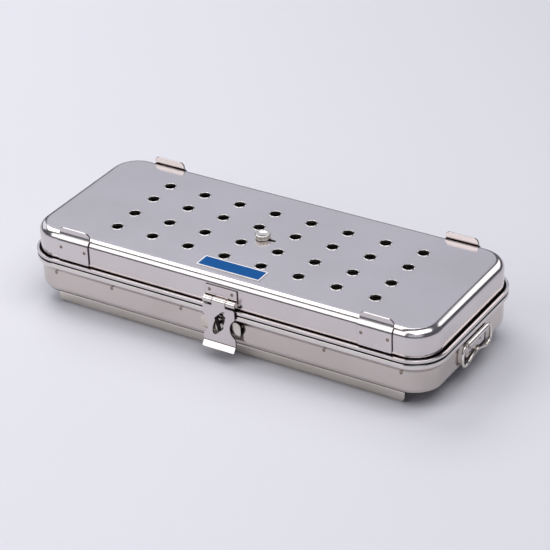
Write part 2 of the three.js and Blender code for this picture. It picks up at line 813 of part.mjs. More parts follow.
// Lid with its brackets, shutter guides and bare name plate
addMesh(sterilizationCase, 'lid_shell', lidPan(), topSteel);
for (const side of ['front', 'rear']) {
  for (const [hand, sign] of [['left', -1], ['right', 1]]) {
    const frame = wallFrame(side, sign * (wallX - bracketInset));
    addMesh(frame, `stack_bracket_${side}_${hand}`, stackBracket(), satinSteel);
  }
  addMesh(wallFrame(side, ventOffset), `shutter_guide_${side}`, shutterGuide(), satinSteel);
}
const namePlate = new THREE.ExtrudeGeometry(
  roundedRect(namePlateLength, namePlateWidth, namePlateRadius, namePlateX, namePlateY),
  { depth: namePlateSheet, bevelEnabled: false });
namePlate.translate(0, 0, lidTopZ + seatGap);
addMesh(sterilizationCase, 'name_plate', namePlate, blueEnamel);

// Shutter
addMesh(sterilizationCase, 'shutter_plate', shutterPlate(), brightSteel);
addMesh(sterilizationCase, 'shutter_knob', shutterKnob(), brightSteel);
addMesh(sterilizationCase, 'knob_nut', knobNut(), brightSteel);

// Latch
const latchFrame = wallFrame('front', latchX);
addMesh(latchFrame, 'latch_leaf', latchLeaf(), satinSteel);
const latchPin = barAlong(latchPinRadius, latchWidth, latchAxisOut, latchAxisZ);
addMesh(latchFrame, 'latch_pin', latchPin, brightSteel);
addMesh(latchFrame, 'hasp', hasp(), satinSteel);
addMesh(latchFrame, 'keeper_plate', keeperPlate(), satinSteel);
addMesh(latchFrame, 'button_washer', buttonWasher(), brightSteel);
addMesh(latchFrame, 'turn_button', turnButton(), darkSteel);

// Hinges
for (const [hand, sign] of [['left', -1], ['right', 1]]) {
  const frame = wallFrame('rear', sign * hingeOffset);
  addMesh(frame, `hinge_lid_leaf_${hand}`, hingeLidLeafSolid(), satinSteel);
  addMesh(frame, `hinge_base_leaf_${hand}`, hingeBaseLeafSolid(), satinSteel);
  const pin = barAlong(hingePinRadius, hingeWidth, hingeAxisOut, partingZ);
  addMesh(frame, `hinge_pin_${hand}`, pin, brightSteel);
}

// Handles
for (const side of ['left', 'right']) {
  const frame = wallFrame(side, 0, handleOffset);
  addMesh(frame, `handle_bracket_${side}`, handleBracket(), satinSteel);
  addMesh(frame, `bail_${side}`, bail(), brightSteel);
}

export default sterilizationCase;
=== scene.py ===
import bmesh
import bpy
from math import asin, atan2, copysign, cos, degrees, hypot, pi, radians, sin, sqrt, tan
from mathutils import Matrix, Vector


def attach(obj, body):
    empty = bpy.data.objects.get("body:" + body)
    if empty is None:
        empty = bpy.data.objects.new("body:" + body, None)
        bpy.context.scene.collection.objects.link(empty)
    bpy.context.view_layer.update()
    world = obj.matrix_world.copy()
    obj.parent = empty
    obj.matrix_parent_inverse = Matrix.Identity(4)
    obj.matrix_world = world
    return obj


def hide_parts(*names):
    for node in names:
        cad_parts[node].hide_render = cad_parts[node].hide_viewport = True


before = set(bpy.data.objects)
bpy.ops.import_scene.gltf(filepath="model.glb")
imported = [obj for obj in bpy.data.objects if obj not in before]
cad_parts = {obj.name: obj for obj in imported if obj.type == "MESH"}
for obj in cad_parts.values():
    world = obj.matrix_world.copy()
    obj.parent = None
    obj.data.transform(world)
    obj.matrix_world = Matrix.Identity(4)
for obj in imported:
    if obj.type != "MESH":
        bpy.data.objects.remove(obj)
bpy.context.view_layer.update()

scene = bpy.context.scene
mm = 0.001

# planes and sizes that the pieces share, in millimetres like every size below
case = {
    "wallX": 151, "wallY": 59.5, "corner": 20, "sheet": 0.9,
    "footZ": 11, "bandTopZ": 36.3, "partingZ": 36.6, "topZ": 58,
    "lipReach": 3.1, "lipHem": 1.8, "lipRise": 2.85, "seat": 0.1,
}
past = 2            # how far a cutting shape stands past what it cuts
frontPast = 3       # the same, in front of a face
endsPast = 1        # the same, at a strip's ends and wherever less will do
mergeMm = 0.0005    # points closer than this become one
softening = {"segments": 2, "angle": 40}    # faces across a rounded edge, and the least angle that is rounded


# outlines

def arc(x, y, radius, start, end, steps):
    turn = [radians(start + (end - start) * i / steps) for i in range(steps + 1)]
    return [(x + radius * cos(a), y + radius * sin(a)) for a in turn]


def circle(x, y, radius, steps=24):
    return arc(x, y, radius, 0, 360, steps)[:-1]


def insetArc(out, z, radius, start, end, steps):
    # an arc in a section of the wall, as (inset, z), where inset counts inwards
    return [(-a, b) for a, b in arc(out, z, radius, start, end, steps)]


def oblong(left, right, low, high):
    return [(left, low), (right, low), (right, high), (left, high)]


# the side of a plan's four corners in x and in y, and where each one's arc starts
planCorners = [(1, 1, 0), (-1, 1, 90), (-1, -1, 180), (1, -1, 270)]


def roundedBox(width, height, radius, x=0, y=0, steps=6):
    right, top = width / 2 - radius, height / 2 - radius
    return [point for sideX, sideY, start in planCorners
            for point in arc(x + sideX * right, y + sideY * top, radius, start, start + 90, steps)]


def plateOutline(half, low, top, lowRadius, lowSteps, topRadius=0, topSteps=0):
    # an upright plate, rounded below and, where topRadius is given, above
    upper, lower = half - topRadius, half - lowRadius
    outline = [(half, top), (-half, top)]
    if topRadius:
        outline = arc(upper, top - topRadius, topRadius, 0, 90, topSteps)
        outline += arc(-upper, top - topRadius, topRadius, 90, 180, topSteps)
    outline += arc(-lower, low + lowRadius, lowRadius, 180, 270, lowSteps)
    return outline + arc(lower, low + lowRadius, lowRadius, 270, 360, lowSteps)


def bentSheet(line, thickness):
    # the line is the sheet's inner face, and the sheet lies to its left
    normals = []
    for (x0, y0), (x1, y1) in zip(line, line[1:]):
        length = hypot(x1 - x0, y1 - y0)
        normals.append((-(y1 - y0) / length, (x1 - x0) / length))
    outer = []
    for i, (x, y) in enumerate(line):
        before, after = normals[max(i - 1, 0)], normals[min(i, len(normals) - 1)]
        sumX, sumY = before[0] + after[0], before[1] + after[1]
        scale = 2 * thickness / (sumX * sumX + sumY * sumY)
        outer.append((x + sumX * scale, y + sumY * scale))
    return line + outer[::-1]


def folded(line, bend, thickness=0, steps=6, straight=0.2):
    # rounds the folds of a line with true arcs, wider where the sheet's thickness lies inside the fold,
    # and leaves a corner that turns by less than straight, in radians
    soft = [line[0]]
    for before, corner, after in zip(line, line[1:], line[2:]):
        fold = Vector(corner)
        into, away = (fold - Vector(before)).normalized(), (Vector(after) - fold).normalized()
        turn = atan2(into.x * away.y - into.y * away.x, into.dot(away))
        if abs(turn) < straight:
            soft.append(corner)
            continue
        radius = bend + (thickness if turn > 0 else 0)
        start = fold - into * radius * tan(abs(turn) / 2)
        centre = start + Vector((-into.y, into.x)) * copysign(radius, turn)
        spoke = start - centre
        for i in range(steps + 1):
            a = turn * i / steps
            soft.append((centre.x + spoke.x * cos(a) - spoke.y * sin(a),
                         centre.y + spoke.x * sin(a) + spoke.y * cos(a)))
    return soft + [line[-1]]


# solids, each a list of points and a list of faces

def ringFaces(rings, sides, closed=False):
    # four-sided faces between rings of points that follow each other
    faces = []
    for ring in range(rings if closed else rings - 1):
        here, there = ring * sides, (ring + 1) % rings * sides
        for i in range(sides):
            after = (i + 1) % sides
            faces.append([here + i, here + after, there + after, there + i])
    return faces


def endFaces(rings, sides):
    last = (rings - 1) * sides
    return [list(range(sides)), [last + i for i in reversed(range(sides))]]


def planLoft(profile, closed, cornerSteps=20):
    # rings of the case's plan, each (inset, z); an open run gets a flat face at both ends
    verts = []
    for inset, z in profile:
        for sideX, sideY, start in planCorners:
            x, y = sideX * (case["wallX"] - case["corner"]), sideY * (case["wallY"] - case["corner"])
            verts += [(a, b, z) for a, b in arc(x, y, case["corner"] - inset, start, start + 90, cornerSteps)]
    rings, sides = len(profile), 4 * (cornerSteps + 1)
    return verts, ringFaces(rings, sides, closed) + ([] if closed else endFaces(rings, sides))


def prism(outline, low, high, facing):
    # an outline carried from low to high: "side" is (out, up), "front" (along, up), "top" (x, y)
    order = {"side": (0, 2, 1), "front": (2, 0, 1), "top": (0, 1, 2)}[facing]
    verts = [tuple((a, b, depth)[axis] for axis in order) for depth in (low, high) for a, b in outline]
    return verts, endFaces(2, len(outline)) + ringFaces(2, len(outline))


def tube(outer, inner, length, out, up, along=0, sides=40):
    # a ring of metal round an axis that runs along the wall
    verts = []
    for radius, end in [(outer, -1), (outer, 1), (inner, 1), (inner, -1)]:
        verts += [(a, along + end * length / 2, b) for a, b in circle(out, up, radius, sides)]
    return verts, ringFaces(4, sides, True)


def plug(rings, x, y, sides):
    # an upright round solid of rings, each (radius, z)
    verts = [(a, b, z) for radius, z in rings for a, b in circle(x, y, radius, sides)]
    return verts, endFaces(len(rings), sides) + ringFaces(len(rings), sides)


def joined(*shapes):
    verts, faces = [], []
    for points, sides in shapes:
        faces += [[i + len(verts) for i in side] for side in sides]
        verts += points
    return verts, faces


def placed(shape, place):
    return [tuple(place @ Vector(point)) for point in shape[0]], shape[1]


# objects

hands = {"left": -1, "right": 1}


def wallPlace(side, shiftX=0, shiftY=0):
    # local x points out of the wall's outer face, local y runs along it, z is up
    turn = radians({"front": -90, "rear": 90, "right": 0, "left": 180}[side])
    reach = case["wallY"] if side in ("front", "rear") else case["wallX"]
    spot = Vector((reach * round(cos(turn)) + shiftX, reach * round(sin(turn)) + shiftY, 0))
    return Matrix.Translation(spot) @ Matrix.Rotation(turn, 4, "Z")


def beyondWall(spot):
    # how far a point lies outside the case's wall
    dx, dy = (abs(a) - case[wall] + case["corner"] for a, wall in ((spot.x, "wallX"), (spot.y, "wallY")))
    return hypot(max(dx, 0), max(dy, 0)) - case["corner"]


def makeObject(name, shape, place=Matrix(), material=None):
    mesh = bpy.data.meshes.new(name)
    mesh.from_pydata([(place @ Vector(point)) * mm for point in shape[0]], [], shape[1])
    work = bmesh.new()
    work.from_mesh(mesh)
    bmesh.ops.remove_doubles(work, verts=work.verts, dist=mergeMm * mm)
    bmesh.ops.recalc_face_normals(work, faces=work.faces)
    work.to_mesh(mesh)
    work.free()
    if material:
        mesh.materials.append(material)
    piece = bpy.data.objects.new(name, mesh)
    scene.collection.objects.link(piece)
    return piece


def trim(piece, shape, operation, place=Matrix(), edge=None):
    # cuts the piece by a shape, or keeps only what lies inside it, and gives the cut its own finish
    tool = makeObject("tool", shape, place, edge)
    step = piece.modifiers.new("trim", "BOOLEAN")
    step.object, step.operation, step.solver = tool, operation, "EXACT"
    step.material_mode = "TRANSFER"
    cut = piece.evaluated_get(bpy.context.evaluated_depsgraph_get())
    mesh = bpy.data.meshes.new_from_object(cut)
    piece.modifiers.clear()
    piece.data = mesh
    bpy.data.objects.remove(tool)


def makeStrip(name, section, half, place, material):
    # a bent sheet along the wall, a little longer than the outline it is cut to
    return makeObject(name, prism(section, -half - endsPast, half + endsPast, "side"), place, material)


def paint(piece, material, chosen):
    # gives another finish to the faces that chosen picks by their centre, in millimetres, and their normal
    piece.data.materials.append(material)
    for face in piece.data.polygons:
        if chosen(face.center / mm, face.normal):
            face.material_index = len(piece.data.materials) - 1


def dress(piece, material, body, nodes=(), edge=0.12, sharp=32):
    # finish, softened edges, even shading, the body it moves with and the nodes it stands for
    if not piece.data.materials:
        piece.data.materials.append(material)
    for face in piece.data.polygons:
        face.use_smooth = True
    piece.data.set_sharp_from_angle(angle=radians(sharp))
    if edge:
        soft = piece.modifiers.new("edges", "BEVEL")
        soft.width, soft.segments, soft.limit_method = edge * mm, softening["segments"], "ANGLE"
        soft.angle_limit = radians(softening["angle"])
    even = piece.modifiers.new("shading", "WEIGHTED_NORMAL")
    even.keep_sharp = True
    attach(piece, body)
    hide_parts(*nodes)


# materials

def linear(hexColour):
    parts = [int(hexColour[i:i + 2], 16) / 255 for i in (1, 3, 5)]
    return [c / 12.92 if c <= 0.04045 else ((c + 0.055) / 1.055) ** 2.4 for c in parts] + [1]


def addNode(tree, kind, settings={}, links={}):
    node = tree.nodes.new("ShaderNode" + kind)
    for name, value in settings.items():
        if isinstance(name, str) and hasattr(node, name):
            setattr(node, name, value)
        else:
            node.inputs[name].default_value = value
    for name, source in links.items():
        tree.links.new(source, node.inputs[name])
    return node


def newMaterial(name):
    # an empty material, its node tree and the place on the piece that its patterns go by
    material = bpy.data.materials.new(name)
    material.use_nodes = True
    tree = material.node_tree
    tree.nodes.clear()
    return material, tree, addNode(tree, "TexCoord").outputs["Object"]


def perMm(size):
    # noise scale for features of this many millimetres, on coordinates in metres
    return 1 / (size * mm)


def stainless(name, look):
    material, tree, spot = newMaterial(name)
    clouds = addNode(tree, "TexNoise", {"Scale": perMm(look["cloudMm"]), "Detail": 3.0}, {"Vector": spot})
    drawn = addNode(tree, "Mapping", {"Scale": look["grainRun"]}, {"Vector": spot})
    grain = addNode(tree, "TexNoise", {"Scale": perMm(look["grainMm"]), "Detail": 4.0, "Roughness": 0.6},
                    {"Vector": drawn.outputs[0]})
    waves = addNode(tree, "TexNoise", {"Scale": perMm(look["waveMm"]), "Detail": 1.0}, {"Vector": spot})
    share = addNode(tree, "MapRange", {"From Min": 0.35, "From Max": 0.7}, {"Value": clouds.outputs["Fac"]})
    tint = addNode(tree, "Mix", {"data_type": "RGBA", 6: linear(look["tint"]), 7: linear(look["cloud"])},
                   {0: share.outputs[0]})
    rough = addNode(tree, "MapRange",
                    {"From Min": 0.3, "From Max": 0.7, "To Min": look["rough"] - look["spread"],
                     "To Max": look["rough"] + look["spread"]}, {"Value": grain.outputs["Fac"]})
    fine = addNode(tree, "Bump", {"Strength": 1.0, "Distance": look["grainHigh"] * mm},
                   {"Height": grain.outputs["Fac"]})
    wavy = addNode(tree, "Bump", {"Strength": 1.0, "Distance": look["waveHigh"] * mm},
                   {"Height": waves.outputs["Fac"], "Normal": fine.outputs[0]})
    shader = addNode(tree, "BsdfPrincipled", {"Metallic": 1.0},
                     {"Base Color": tint.outputs[2], "Roughness": rough.outputs[0],
                      "Normal": wavy.outputs[0]})
    addNode(tree, "OutputMaterial", {}, {"Surface": shader.outputs[0]})
    return material


# the grain of rolled sheet, long in the rolling direction, and the grain of small worked faces
sheetGrain = {"grainRun": (0.2, 1, 1), "grainMm": 0.7, "grainHigh": 0.0012, "waveMm": 42, "waveHigh": 0.05}
evenGrain = {"grainRun": (1, 1, 1), "grainMm": 0.3, "grainHigh": 0.003, "waveMm": 4, "waveHigh": 0.01}

# satin stainless sheet, cold rolled and drawn: soft reflections with a faint lengthwise grain
satin = stainless("stainlessSatin", {
    **sheetGrain, "tint": "#D6CFCF", "cloud": "#CEC7C6", "cloudMm": 60, "rough": 0.16, "spread": 0.02,
})
# the base's wall, a shade darker and warmer than the lid's
baseSatin = stainless("stainlessBaseSatin", {
    **sheetGrain, "tint": "#CBC3BE", "cloud": "#C3BBB5", "cloudMm": 60, "rough": 0.17, "spread": 0.02,
})
# the rails' thicker sheet, left with its mill finish and duller than the pans, tinted lighter and yellower as
# a painted reflection of the shaded floor beside them
railPaintedReflection = stainless("stainlessRailPaintedReflection", {
    "tint": "#DDD6CE", "cloud": "#D0C9BE", "cloudMm": 40, "rough": 0.2, "spread": 0.04,
    "grainRun": (0.15, 1, 1), "grainMm": 0.6, "grainHigh": 0.0025, "waveMm": 30, "waveHigh": 0.05,
})
# stainless sheet inside the case, left as rolled: dull, with no polish
rolled = stainless("stainlessRolled", {
    "tint": "#A29E9B", "cloud": "#96918D", "cloudMm": 35, "rough": 0.3, "spread": 0.05,
    "grainRun": (0.3, 1, 1), "grainMm": 0.9, "grainHigh": 0.002, "waveMm": 40, "waveHigh": 0.05,
})
# the shutter's thin stainless sheet, dull, and made dark as painted shade, so it stays dark behind the holes
shadedShutter = stainless("stainlessShutterShade", {
    "tint": "#75706D", "cloud": "#676260", "cloudMm": 20, "rough": 0.42, "spread": 0.06,
    "grainRun": (0.3, 1, 1), "grainMm": 0.9, "grainHigh": 0.002, "waveMm": 30, "waveHigh": 0.04,
})
# the keeper's stainless sheet, ground with a coarse belt: a duller face that catches light from all round
keeperSatin = stainless("stainlessKeeper", {
    "tint": "#D8D1CA", "cloud": "#C9C1B6", "cloudMm": 6, "rough": 0.25, "spread": 0.05,
    "grainRun": (1, 1, 0.2), "grainMm": 0.4, "grainHigh": 0.003, "waveMm": 8, "waveHigh": 0.02,
})
# folded rims, buffed after folding: brighter and sharper reflections
buffed = stainless("stainlessBuffed", {
    "tint": "#DDD8D5", "cloud": "#D3CCC9", "cloudMm": 30, "rough": 0.14, "spread": 0.02,
    "grainRun": (0.2, 1, 1), "grainMm": 0.6, "grainHigh": 0.001, "waveMm": 30, "waveHigh": 0.03,
})
# turned and drawn wire parts, barrel polished: small, bright, nearly mirror
bright = stainless("stainlessBright", {
    **evenGrain, "tint": "#E6E1DA", "cloud": "#DAD3CA", "cloudMm": 8, "rough": 0.12, "spread": 0.03,
    "grainMm": 0.5, "grainHigh": 0.0008, "waveMm": 9,
})
# heat-tinted stainless where a weld electrode pressed: straw to brown, dull
weldTint = stainless("stainlessWeldTint", {
    **evenGrain, "tint": "#A5978C", "cloud": "#6F6157", "cloudMm": 0.9, "rough": 0.24, "spread": 0.05,
    "grainHigh": 0.002,
})
# shear-cut edges of the sheet: dull torn grain, made dark as painted shade so each cut edge reads as a dark
# line beside the polished faces
shearedEdgeShade = stainless("stainlessShearedEdgeShade", {
    **evenGrain, "tint": "#3C3735", "cloud": "#2E2A28", "cloudMm": 2.5, "rough": 0.42, "spread": 0.08,
    "grainMm": 0.25,
})
# painted shade: near black and dull, laid in grooves, creases, folds and gaps so each reads as a dark line
paintedShade = stainless("stainlessPaintedShade", {
    **evenGrain, "tint": "#1F1B1A", "cloud": "#151211", "cloudMm": 4, "rough": 0.6, "spread": 0.1,
    "waveMm": 5,
})
# walls of punched holes: burnished by the punch, but rough enough to catch the light
punched = stainless("stainlessPunched", {
    **evenGrain, "tint": "#CFC9C4", "cloud": "#B9B2AC", "cloudMm": 2, "rough": 0.4, "spread": 0.08,
    "grainMm": 0.25,
})
# the turn button's steel, made nearly black as painted shade, with a dull sheen
shadedButtonSteel = stainless("steelButtonShade", {
    **evenGrain, "tint": "#2A2725", "cloud": "#1D1B1A", "cloudMm": 3, "rough": 0.38, "spread": 0.08,
    "grainHigh": 0.002, "waveMm": 6,
})


def enamel(name, look):
    material, tree, spot = newMaterial(name)
    mottle = addNode(tree, "TexNoise", {"Scale": perMm(look["mottleMm"]), "Detail": 3.0}, {"Vector": spot})
    tint = addNode(tree, "Mix", {"data_type": "RGBA", 6: linear(look["tint"]), 7: linear(look["deep"])},
                   {0: mottle.outputs["Fac"]})
    peel = addNode(tree, "Bump", {"Strength": 1.0, "Distance": look["peelHigh"] * mm},
                   {"Height": mottle.outputs["Fac"]})
    shader = addNode(tree, "BsdfPrincipled",
                     {"Roughness": look["rough"], "Specular IOR Level": look["gloss"]},
                     {"Base Color": tint.outputs[2], "Normal": peel.outputs[0]})
    addNode(tree, "OutputMaterial", {}, {"Surface": shader.outputs[0]})
    return material


# printed enamel on the thin plate: even colour with a little gloss and orange peel
blueEnamel = enamel("enamelBlue", {
    "tint": "#02559A", "deep": "#014A88", "mottleMm": 2.5, "peelHigh": 0.004, "rough": 0.5, "gloss": 0.08,
})
whiteEnamel = enamel("enamelWhite", {
    "tint": "#F6F5F6", "deep": "#EDECEE", "mottleMm": 2, "peelHigh": 0.004, "rough": 0.4, "gloss": 0.5,
})
print("materials made")


# base

basePan = {"edge": 6, "steps": 16, "creaseHigh": 2.9, "creaseIn": 0.5}


def makeBase():
    edge, sheet, top, steps = basePan["edge"], case["sheet"], case["bandTopZ"], basePan["steps"]
    z = case["footZ"] + edge
    inner = insetArc(-edge, z, edge - sheet, -90, 0, steps)
    outer = insetArc(-edge, z, edge, 0, -90, steps)
    shape = planLoft(inner + [(sheet, top), (0, top)] + outer, False)

    def inCrease(spot, normal):
        # painted shade under the turn of the edge, where the pan meets the rails
        low = spot.z < case["footZ"] + basePan["creaseHigh"] and normal.z < -0.1
        return low and beyondWall(spot) > -edge - basePan["creaseIn"]

    def isInside(spot, normal):
        return beyondWall(spot) < -sheet * 0.9 and (normal.z > 0.1 or spot.z > z)

    pan = makeObject("basePan", shape, material=baseSatin)
    paint(pan, paintedShade, inCrease)
    paint(pan, rolled, isInside)
    dress(pan, baseSatin, "base", ["base_shell"])


innerCollar = {"fit": 0.4, "rise": 7, "tail": 6, "joggle": 1.5, "edge": 0.25}


def makeCollar():
    wall, inside = case["sheet"] + case["seat"], case["sheet"] + innerCollar["fit"]
    top, low = case["partingZ"] + innerCollar["rise"], case["partingZ"] - innerCollar["tail"]
    bend = case["bandTopZ"]
    line = [(inside, top), (inside, bend), (wall, bend - innerCollar["joggle"]), (wall, low)]
    back = [(inset + case["sheet"], z) for inset, z in line]
    places = ["front", "rear", "left", "right", "front_left", "front_right", "rear_left", "rear_right"]
    collar = makeObject("innerCollar", planLoft(line + back[::-1], True))
    dress(collar, rolled, "base", ["inner_collar_" + place for place in places], edge=innerCollar["edge"])


rimBand = {"bend": 0.9, "face": 3, "drop": 7, "turn": 1, "steps": 8}


def makeBand():
    bend, sheet, reach, wall = rimBand["bend"], case["sheet"], case["lipReach"], -case["seat"]
    top, steps = case["bandTopZ"], rimBand["steps"]
    faceEnd, low = top - rimBand["face"], top - rimBand["drop"]
    bendOut, bendZ = reach - bend, top - bend
    outer = insetArc(bendOut, bendZ, bend, 90, 0, steps)
    inner = insetArc(bendOut, bendZ, bend - sheet, 0, 90, steps)
    turn = folded([(-reach, bendZ), (-reach, faceEnd), (wall, low)], rimBand["turn"])[1:]
    back = [(wall, low + sheet * sqrt(2)), (-(reach - sheet), faceEnd + sheet * (sqrt(2) - 1))]
    profile = [(wall, top)] + outer + turn + back + inner + [(wall, top - sheet)]

    def onBend(spot, normal):
        # painted shade on the bend, just outside where the lid rests
        return normal.z > 0.75 and beyondWall(spot) > bendOut + 0.01

    band = makeObject("rimBand", planLoft(profile, True), material=buffed)
    paint(band, paintedShade, onBend)
    dress(band, buffed, "base", ["rim_band"])


footRail = {"length": 265, "shift": -2, "inset": 7.3, "sheet": 1.2, "flange": 9, "foot": 5, "bend": 2.2,
            "cornerRadius": 6, "cornerSteps": 10, "edge": 0.2}


def makeRail(side):
    face, top, half = -footRail["inset"], case["footZ"] - case["seat"], footRail["length"] / 2
    line = [(face - footRail["foot"], 0), (face, 0), (face, top), (face - footRail["flange"], top)]
    section = bentSheet(folded(line, footRail["bend"], footRail["sheet"]), footRail["sheet"])
    ends = plateOutline(half, 0, top + past, footRail["cornerRadius"], footRail["cornerSteps"])
    place = wallPlace(side, footRail["shift"])
    rail = makeStrip("footRail" + side.title(), section, half, place, railPaintedReflection)
    cutter = prism(ends, face - footRail["flange"] - past, face + past, "front")
    trim(rail, cutter, "INTERSECT", place, shearedEdgeShade)
    dress(rail, railPaintedReflection, "base", ["foot_rail_" + side], edge=footRail["edge"])


makeBase()
makeCollar()
makeBand()
makeRail("front")
makeRail("rear")
print("base made")


# lid

vents = {
    "diameter": 7.5, "pitch": 28, "columns": 8, "rows": [-31.9, -11.3, 11.3, 31.9],
    "slotLength": 11.2, "slotWidth": 2.8, "slotSteps": 12, "shift": 1, "sides": 40,
    # the raised rim's points: how far beyond the hole's edge, and how high over the lid
    "rim": [(-0.02, -0.5), (-0.02, -0.04), (0.06, 0.14), (0.22, 0.26), (0.42, 0.2), (0.68, 0.03),
            (0.75, -0.3)],
}
lidPan = {
    "edge": 5.5, "bend": 0.95, "steps": 12, "undersideZ": 57.1, "hemRound": 0.45, "hemSteps": 5,
    "grooveBend": 0.25, "bendSteps": 8,
    # how far below the lip's top the groove's painted shade ends, at the long sides and at the two ends
    "shadeSides": 0.3, "shadeEnds": 1,
    # the shallow crease round the top: how far inside the bent edge, and how high
    "crease": [(1.3, 0), (0.9, -0.02), (0.6, -0.035), (0.2, -0.01)],
}


def ventSpots():
    middle = (vents["columns"] - 1) / 2
    return [(vents["shift"] + (column - middle) * vents["pitch"], y)
            for y in vents["rows"] for column in range(vents["columns"])]


def ventCutters(low, high):
    rings = [(vents["diameter"] / 2, low), (vents["diameter"] / 2, high)]
    return [plug(rings, x, y, vents["sides"]) for x, y in ventSpots()]


def slotCutter(low, high):
    # the short slot that the knob's stud slides in
    radius, half = vents["slotWidth"] / 2, (vents["slotLength"] - vents["slotWidth"]) / 2
    outline = arc(vents["shift"] + half, 0, radius, -90, 90, vents["slotSteps"])
    outline += arc(vents["shift"] - half, 0, radius, 90, 270, vents["slotSteps"])
    return prism(outline, low, high, "top")


def lidProfile():
    sheet, reach, parting, top = case["sheet"], case["lipReach"], case["partingZ"], case["topZ"]
    edge, bend, hem, steps = lidPan["edge"], lidPan["bend"], lidPan["hemRound"], lidPan["steps"]
    lipTop, groove, floor = parting + case["lipRise"], reach - case["lipHem"], parting + sheet
    crease = [(edge + further, top + high) for further, high in lidPan["crease"]]
    outside = insetArc(-edge, top - edge, edge, 90, 0, steps)
    foot = folded([(0, lipTop), (0, floor), (-groove, floor), (-groove, lipTop)], lidPan["grooveBend"])
    foot.insert(1, (0, lipTop - lidPan["shadeEnds"]))
    lip = insetArc(groove + hem, lipTop - hem, hem, 180, 90, lidPan["hemSteps"])
    lip += insetArc(reach - hem, lipTop - hem, hem, 90, 0, lidPan["hemSteps"])
    flange = insetArc(reach - bend, parting + bend, bend, 0, -90, lidPan["bendSteps"]) + [(sheet, parting)]
    inside = insetArc(-edge, top - edge, edge - sheet, 0, 90, steps)
    return crease + outside + foot[:-1] + lip + flange + inside


def makeLid():
    parting, reach, bend = case["partingZ"], case["lipReach"], lidPan["bend"]
    lipTop, groove = parting + case["lipRise"], reach - case["lipHem"]

    def inPaintedShade(spot, normal):
        # painted shade fills the groove behind the lip, less of it at the two ends, and the bend under the
        # flange
        end = lipTop - (lidPan["shadeEnds"] if abs(normal.x) > 0.7 else lidPan["shadeSides"])
        inGroove = parting + case["sheet"] / 2 < spot.z < end and -0.3 < beyondWall(spot) < groove + 0.2
        return inGroove or spot.z < parting + bend and beyondWall(spot) > reach - bend - 0.1

    pan = makeObject("lidPan", planLoft(lidProfile(), False), material=satin)
    paint(pan, paintedShade, inPaintedShade)
    low, high = lidPan["undersideZ"] - past, case["topZ"] + past
    trim(pan, joined(*ventCutters(low, high), slotCutter(low, high)), "DIFFERENCE", edge=punched)
    dress(pan, satin, "lid", ["lid_shell"], edge=0.1)


def makeVentRims():
    # punched from below, so every hole has a low raised rim
    rings = [(vents["diameter"] / 2 + wide, case["topZ"] + high) for wide, high in vents["rim"]]
    shapes = [plug(rings, x, y, vents["sides"]) for x, y in ventSpots()]
    openShapes = [(verts, faces[2:]) for verts, faces in shapes]   # without the two end faces
    dress(makeObject("ventRims", joined(*openShapes)), buffed, "lid", edge=0, sharp=60)


bracket = {
    "sheet": 1, "width": 24.3, "inset": 37.1, "wrap": 58, "wrapSteps": 12, "rise": 4.9, "upright": 2.2,
    "lean": 0.7, "flare": 0.3, "bend": 0.3, "clearance": 1, "edge": 0.15,
    "topRadius": 3.5, "topSteps": 10, "lowRadius": 1, "lowSteps": 5, "seamShort": 0.3, "cutOut": 4,
    # painted shade in the crease between the upright and the lid, as (out, up) from where the upright starts
    "seam": [(0.2, -0.5), (0.2, 0.7), (-0.15, 0.7), (-1, 0.3), (-1, 0)],
}


def makeBracket(side, hand, sign):
    edge, sheet, half = lidPan["edge"], bracket["sheet"], bracket["width"] / 2
    low, top = case["partingZ"] + case["lipRise"] + bracket["clearance"], case["topZ"] + bracket["rise"]
    reach = edge + case["seat"]
    wrap = arc(-edge, case["topZ"] - edge, reach, 0, bracket["wrap"], bracket["wrapSteps"])
    out, up = wrap[-1]
    lean = out - bracket["lean"]
    line = [(lean + bracket["flare"], top), (lean, up + bracket["upright"]), (out, up), wrap[-2]]
    tab = folded(line, bracket["bend"], sheet)[:-1]
    section = bentSheet(tab + wrap[-2::-1] + [(case["seat"], low)], sheet)
    outline = plateOutline(half, low, top, bracket["lowRadius"], bracket["lowSteps"],
                           bracket["topRadius"], bracket["topSteps"])
    place = wallPlace(side, sign * (case["wallX"] - bracket["inset"]))
    name = side.title() + hand.title()
    piece = makeStrip("stackBracket" + name, section, half, place, satin)
    cutter = prism(outline, -edge - past, bracket["cutOut"], "front")
    trim(piece, cutter, "INTERSECT", place, shearedEdgeShade)
    dress(piece, satin, "lid", [f"stack_bracket_{side}_{hand}"], edge=bracket["edge"])

    # a strip of painted shade in the crease at the upright's foot
    seam = [(out + further, up + high) for further, high in bracket["seam"]]
    end = half - bracket["seamShort"]
    strip = makeObject("bracketSeamShade" + name, prism(seam, -end, end, "side"), place)
    dress(strip, paintedShade, "lid", edge=0)


namePlate = {"length": 47.4, "width": 12.1, "x": 0.1, "y": -43.2, "radius": 0.8, "lowZ": 58.1, "highZ": 58.47,
             "border": 0.85, "fieldRadius": 0.5, "fieldDeep": 0.1, "fieldRise": 0.03}


def makeNamePlate():
    # a white plate with a plain blue field
    long, wide, border = namePlate["length"], namePlate["width"], 2 * namePlate["border"]
    x, y, top = namePlate["x"], namePlate["y"], namePlate["highZ"]
    outline = roundedBox(long, wide, namePlate["radius"], x, y)
    field = roundedBox(long - border, wide - border, namePlate["fieldRadius"], x, y)
    plate = makeObject("namePlate", prism(outline, namePlate["lowZ"], top, "top"))
    dress(plate, whiteEnamel, "lid", ["name_plate"], edge=0.06)
    fieldShape = prism(field, top - namePlate["fieldDeep"], top + namePlate["fieldRise"], "top")
    dress(makeObject("namePlateField", fieldShape), blueEnamel, "lid", edge=0.01)


makeLid()
makeVentRims()
for side in ("front", "rear"):
    for hand, sign in hands.items():
        makeBracket(side, hand, sign)
makeNamePlate()
print("lid made")


# shutter

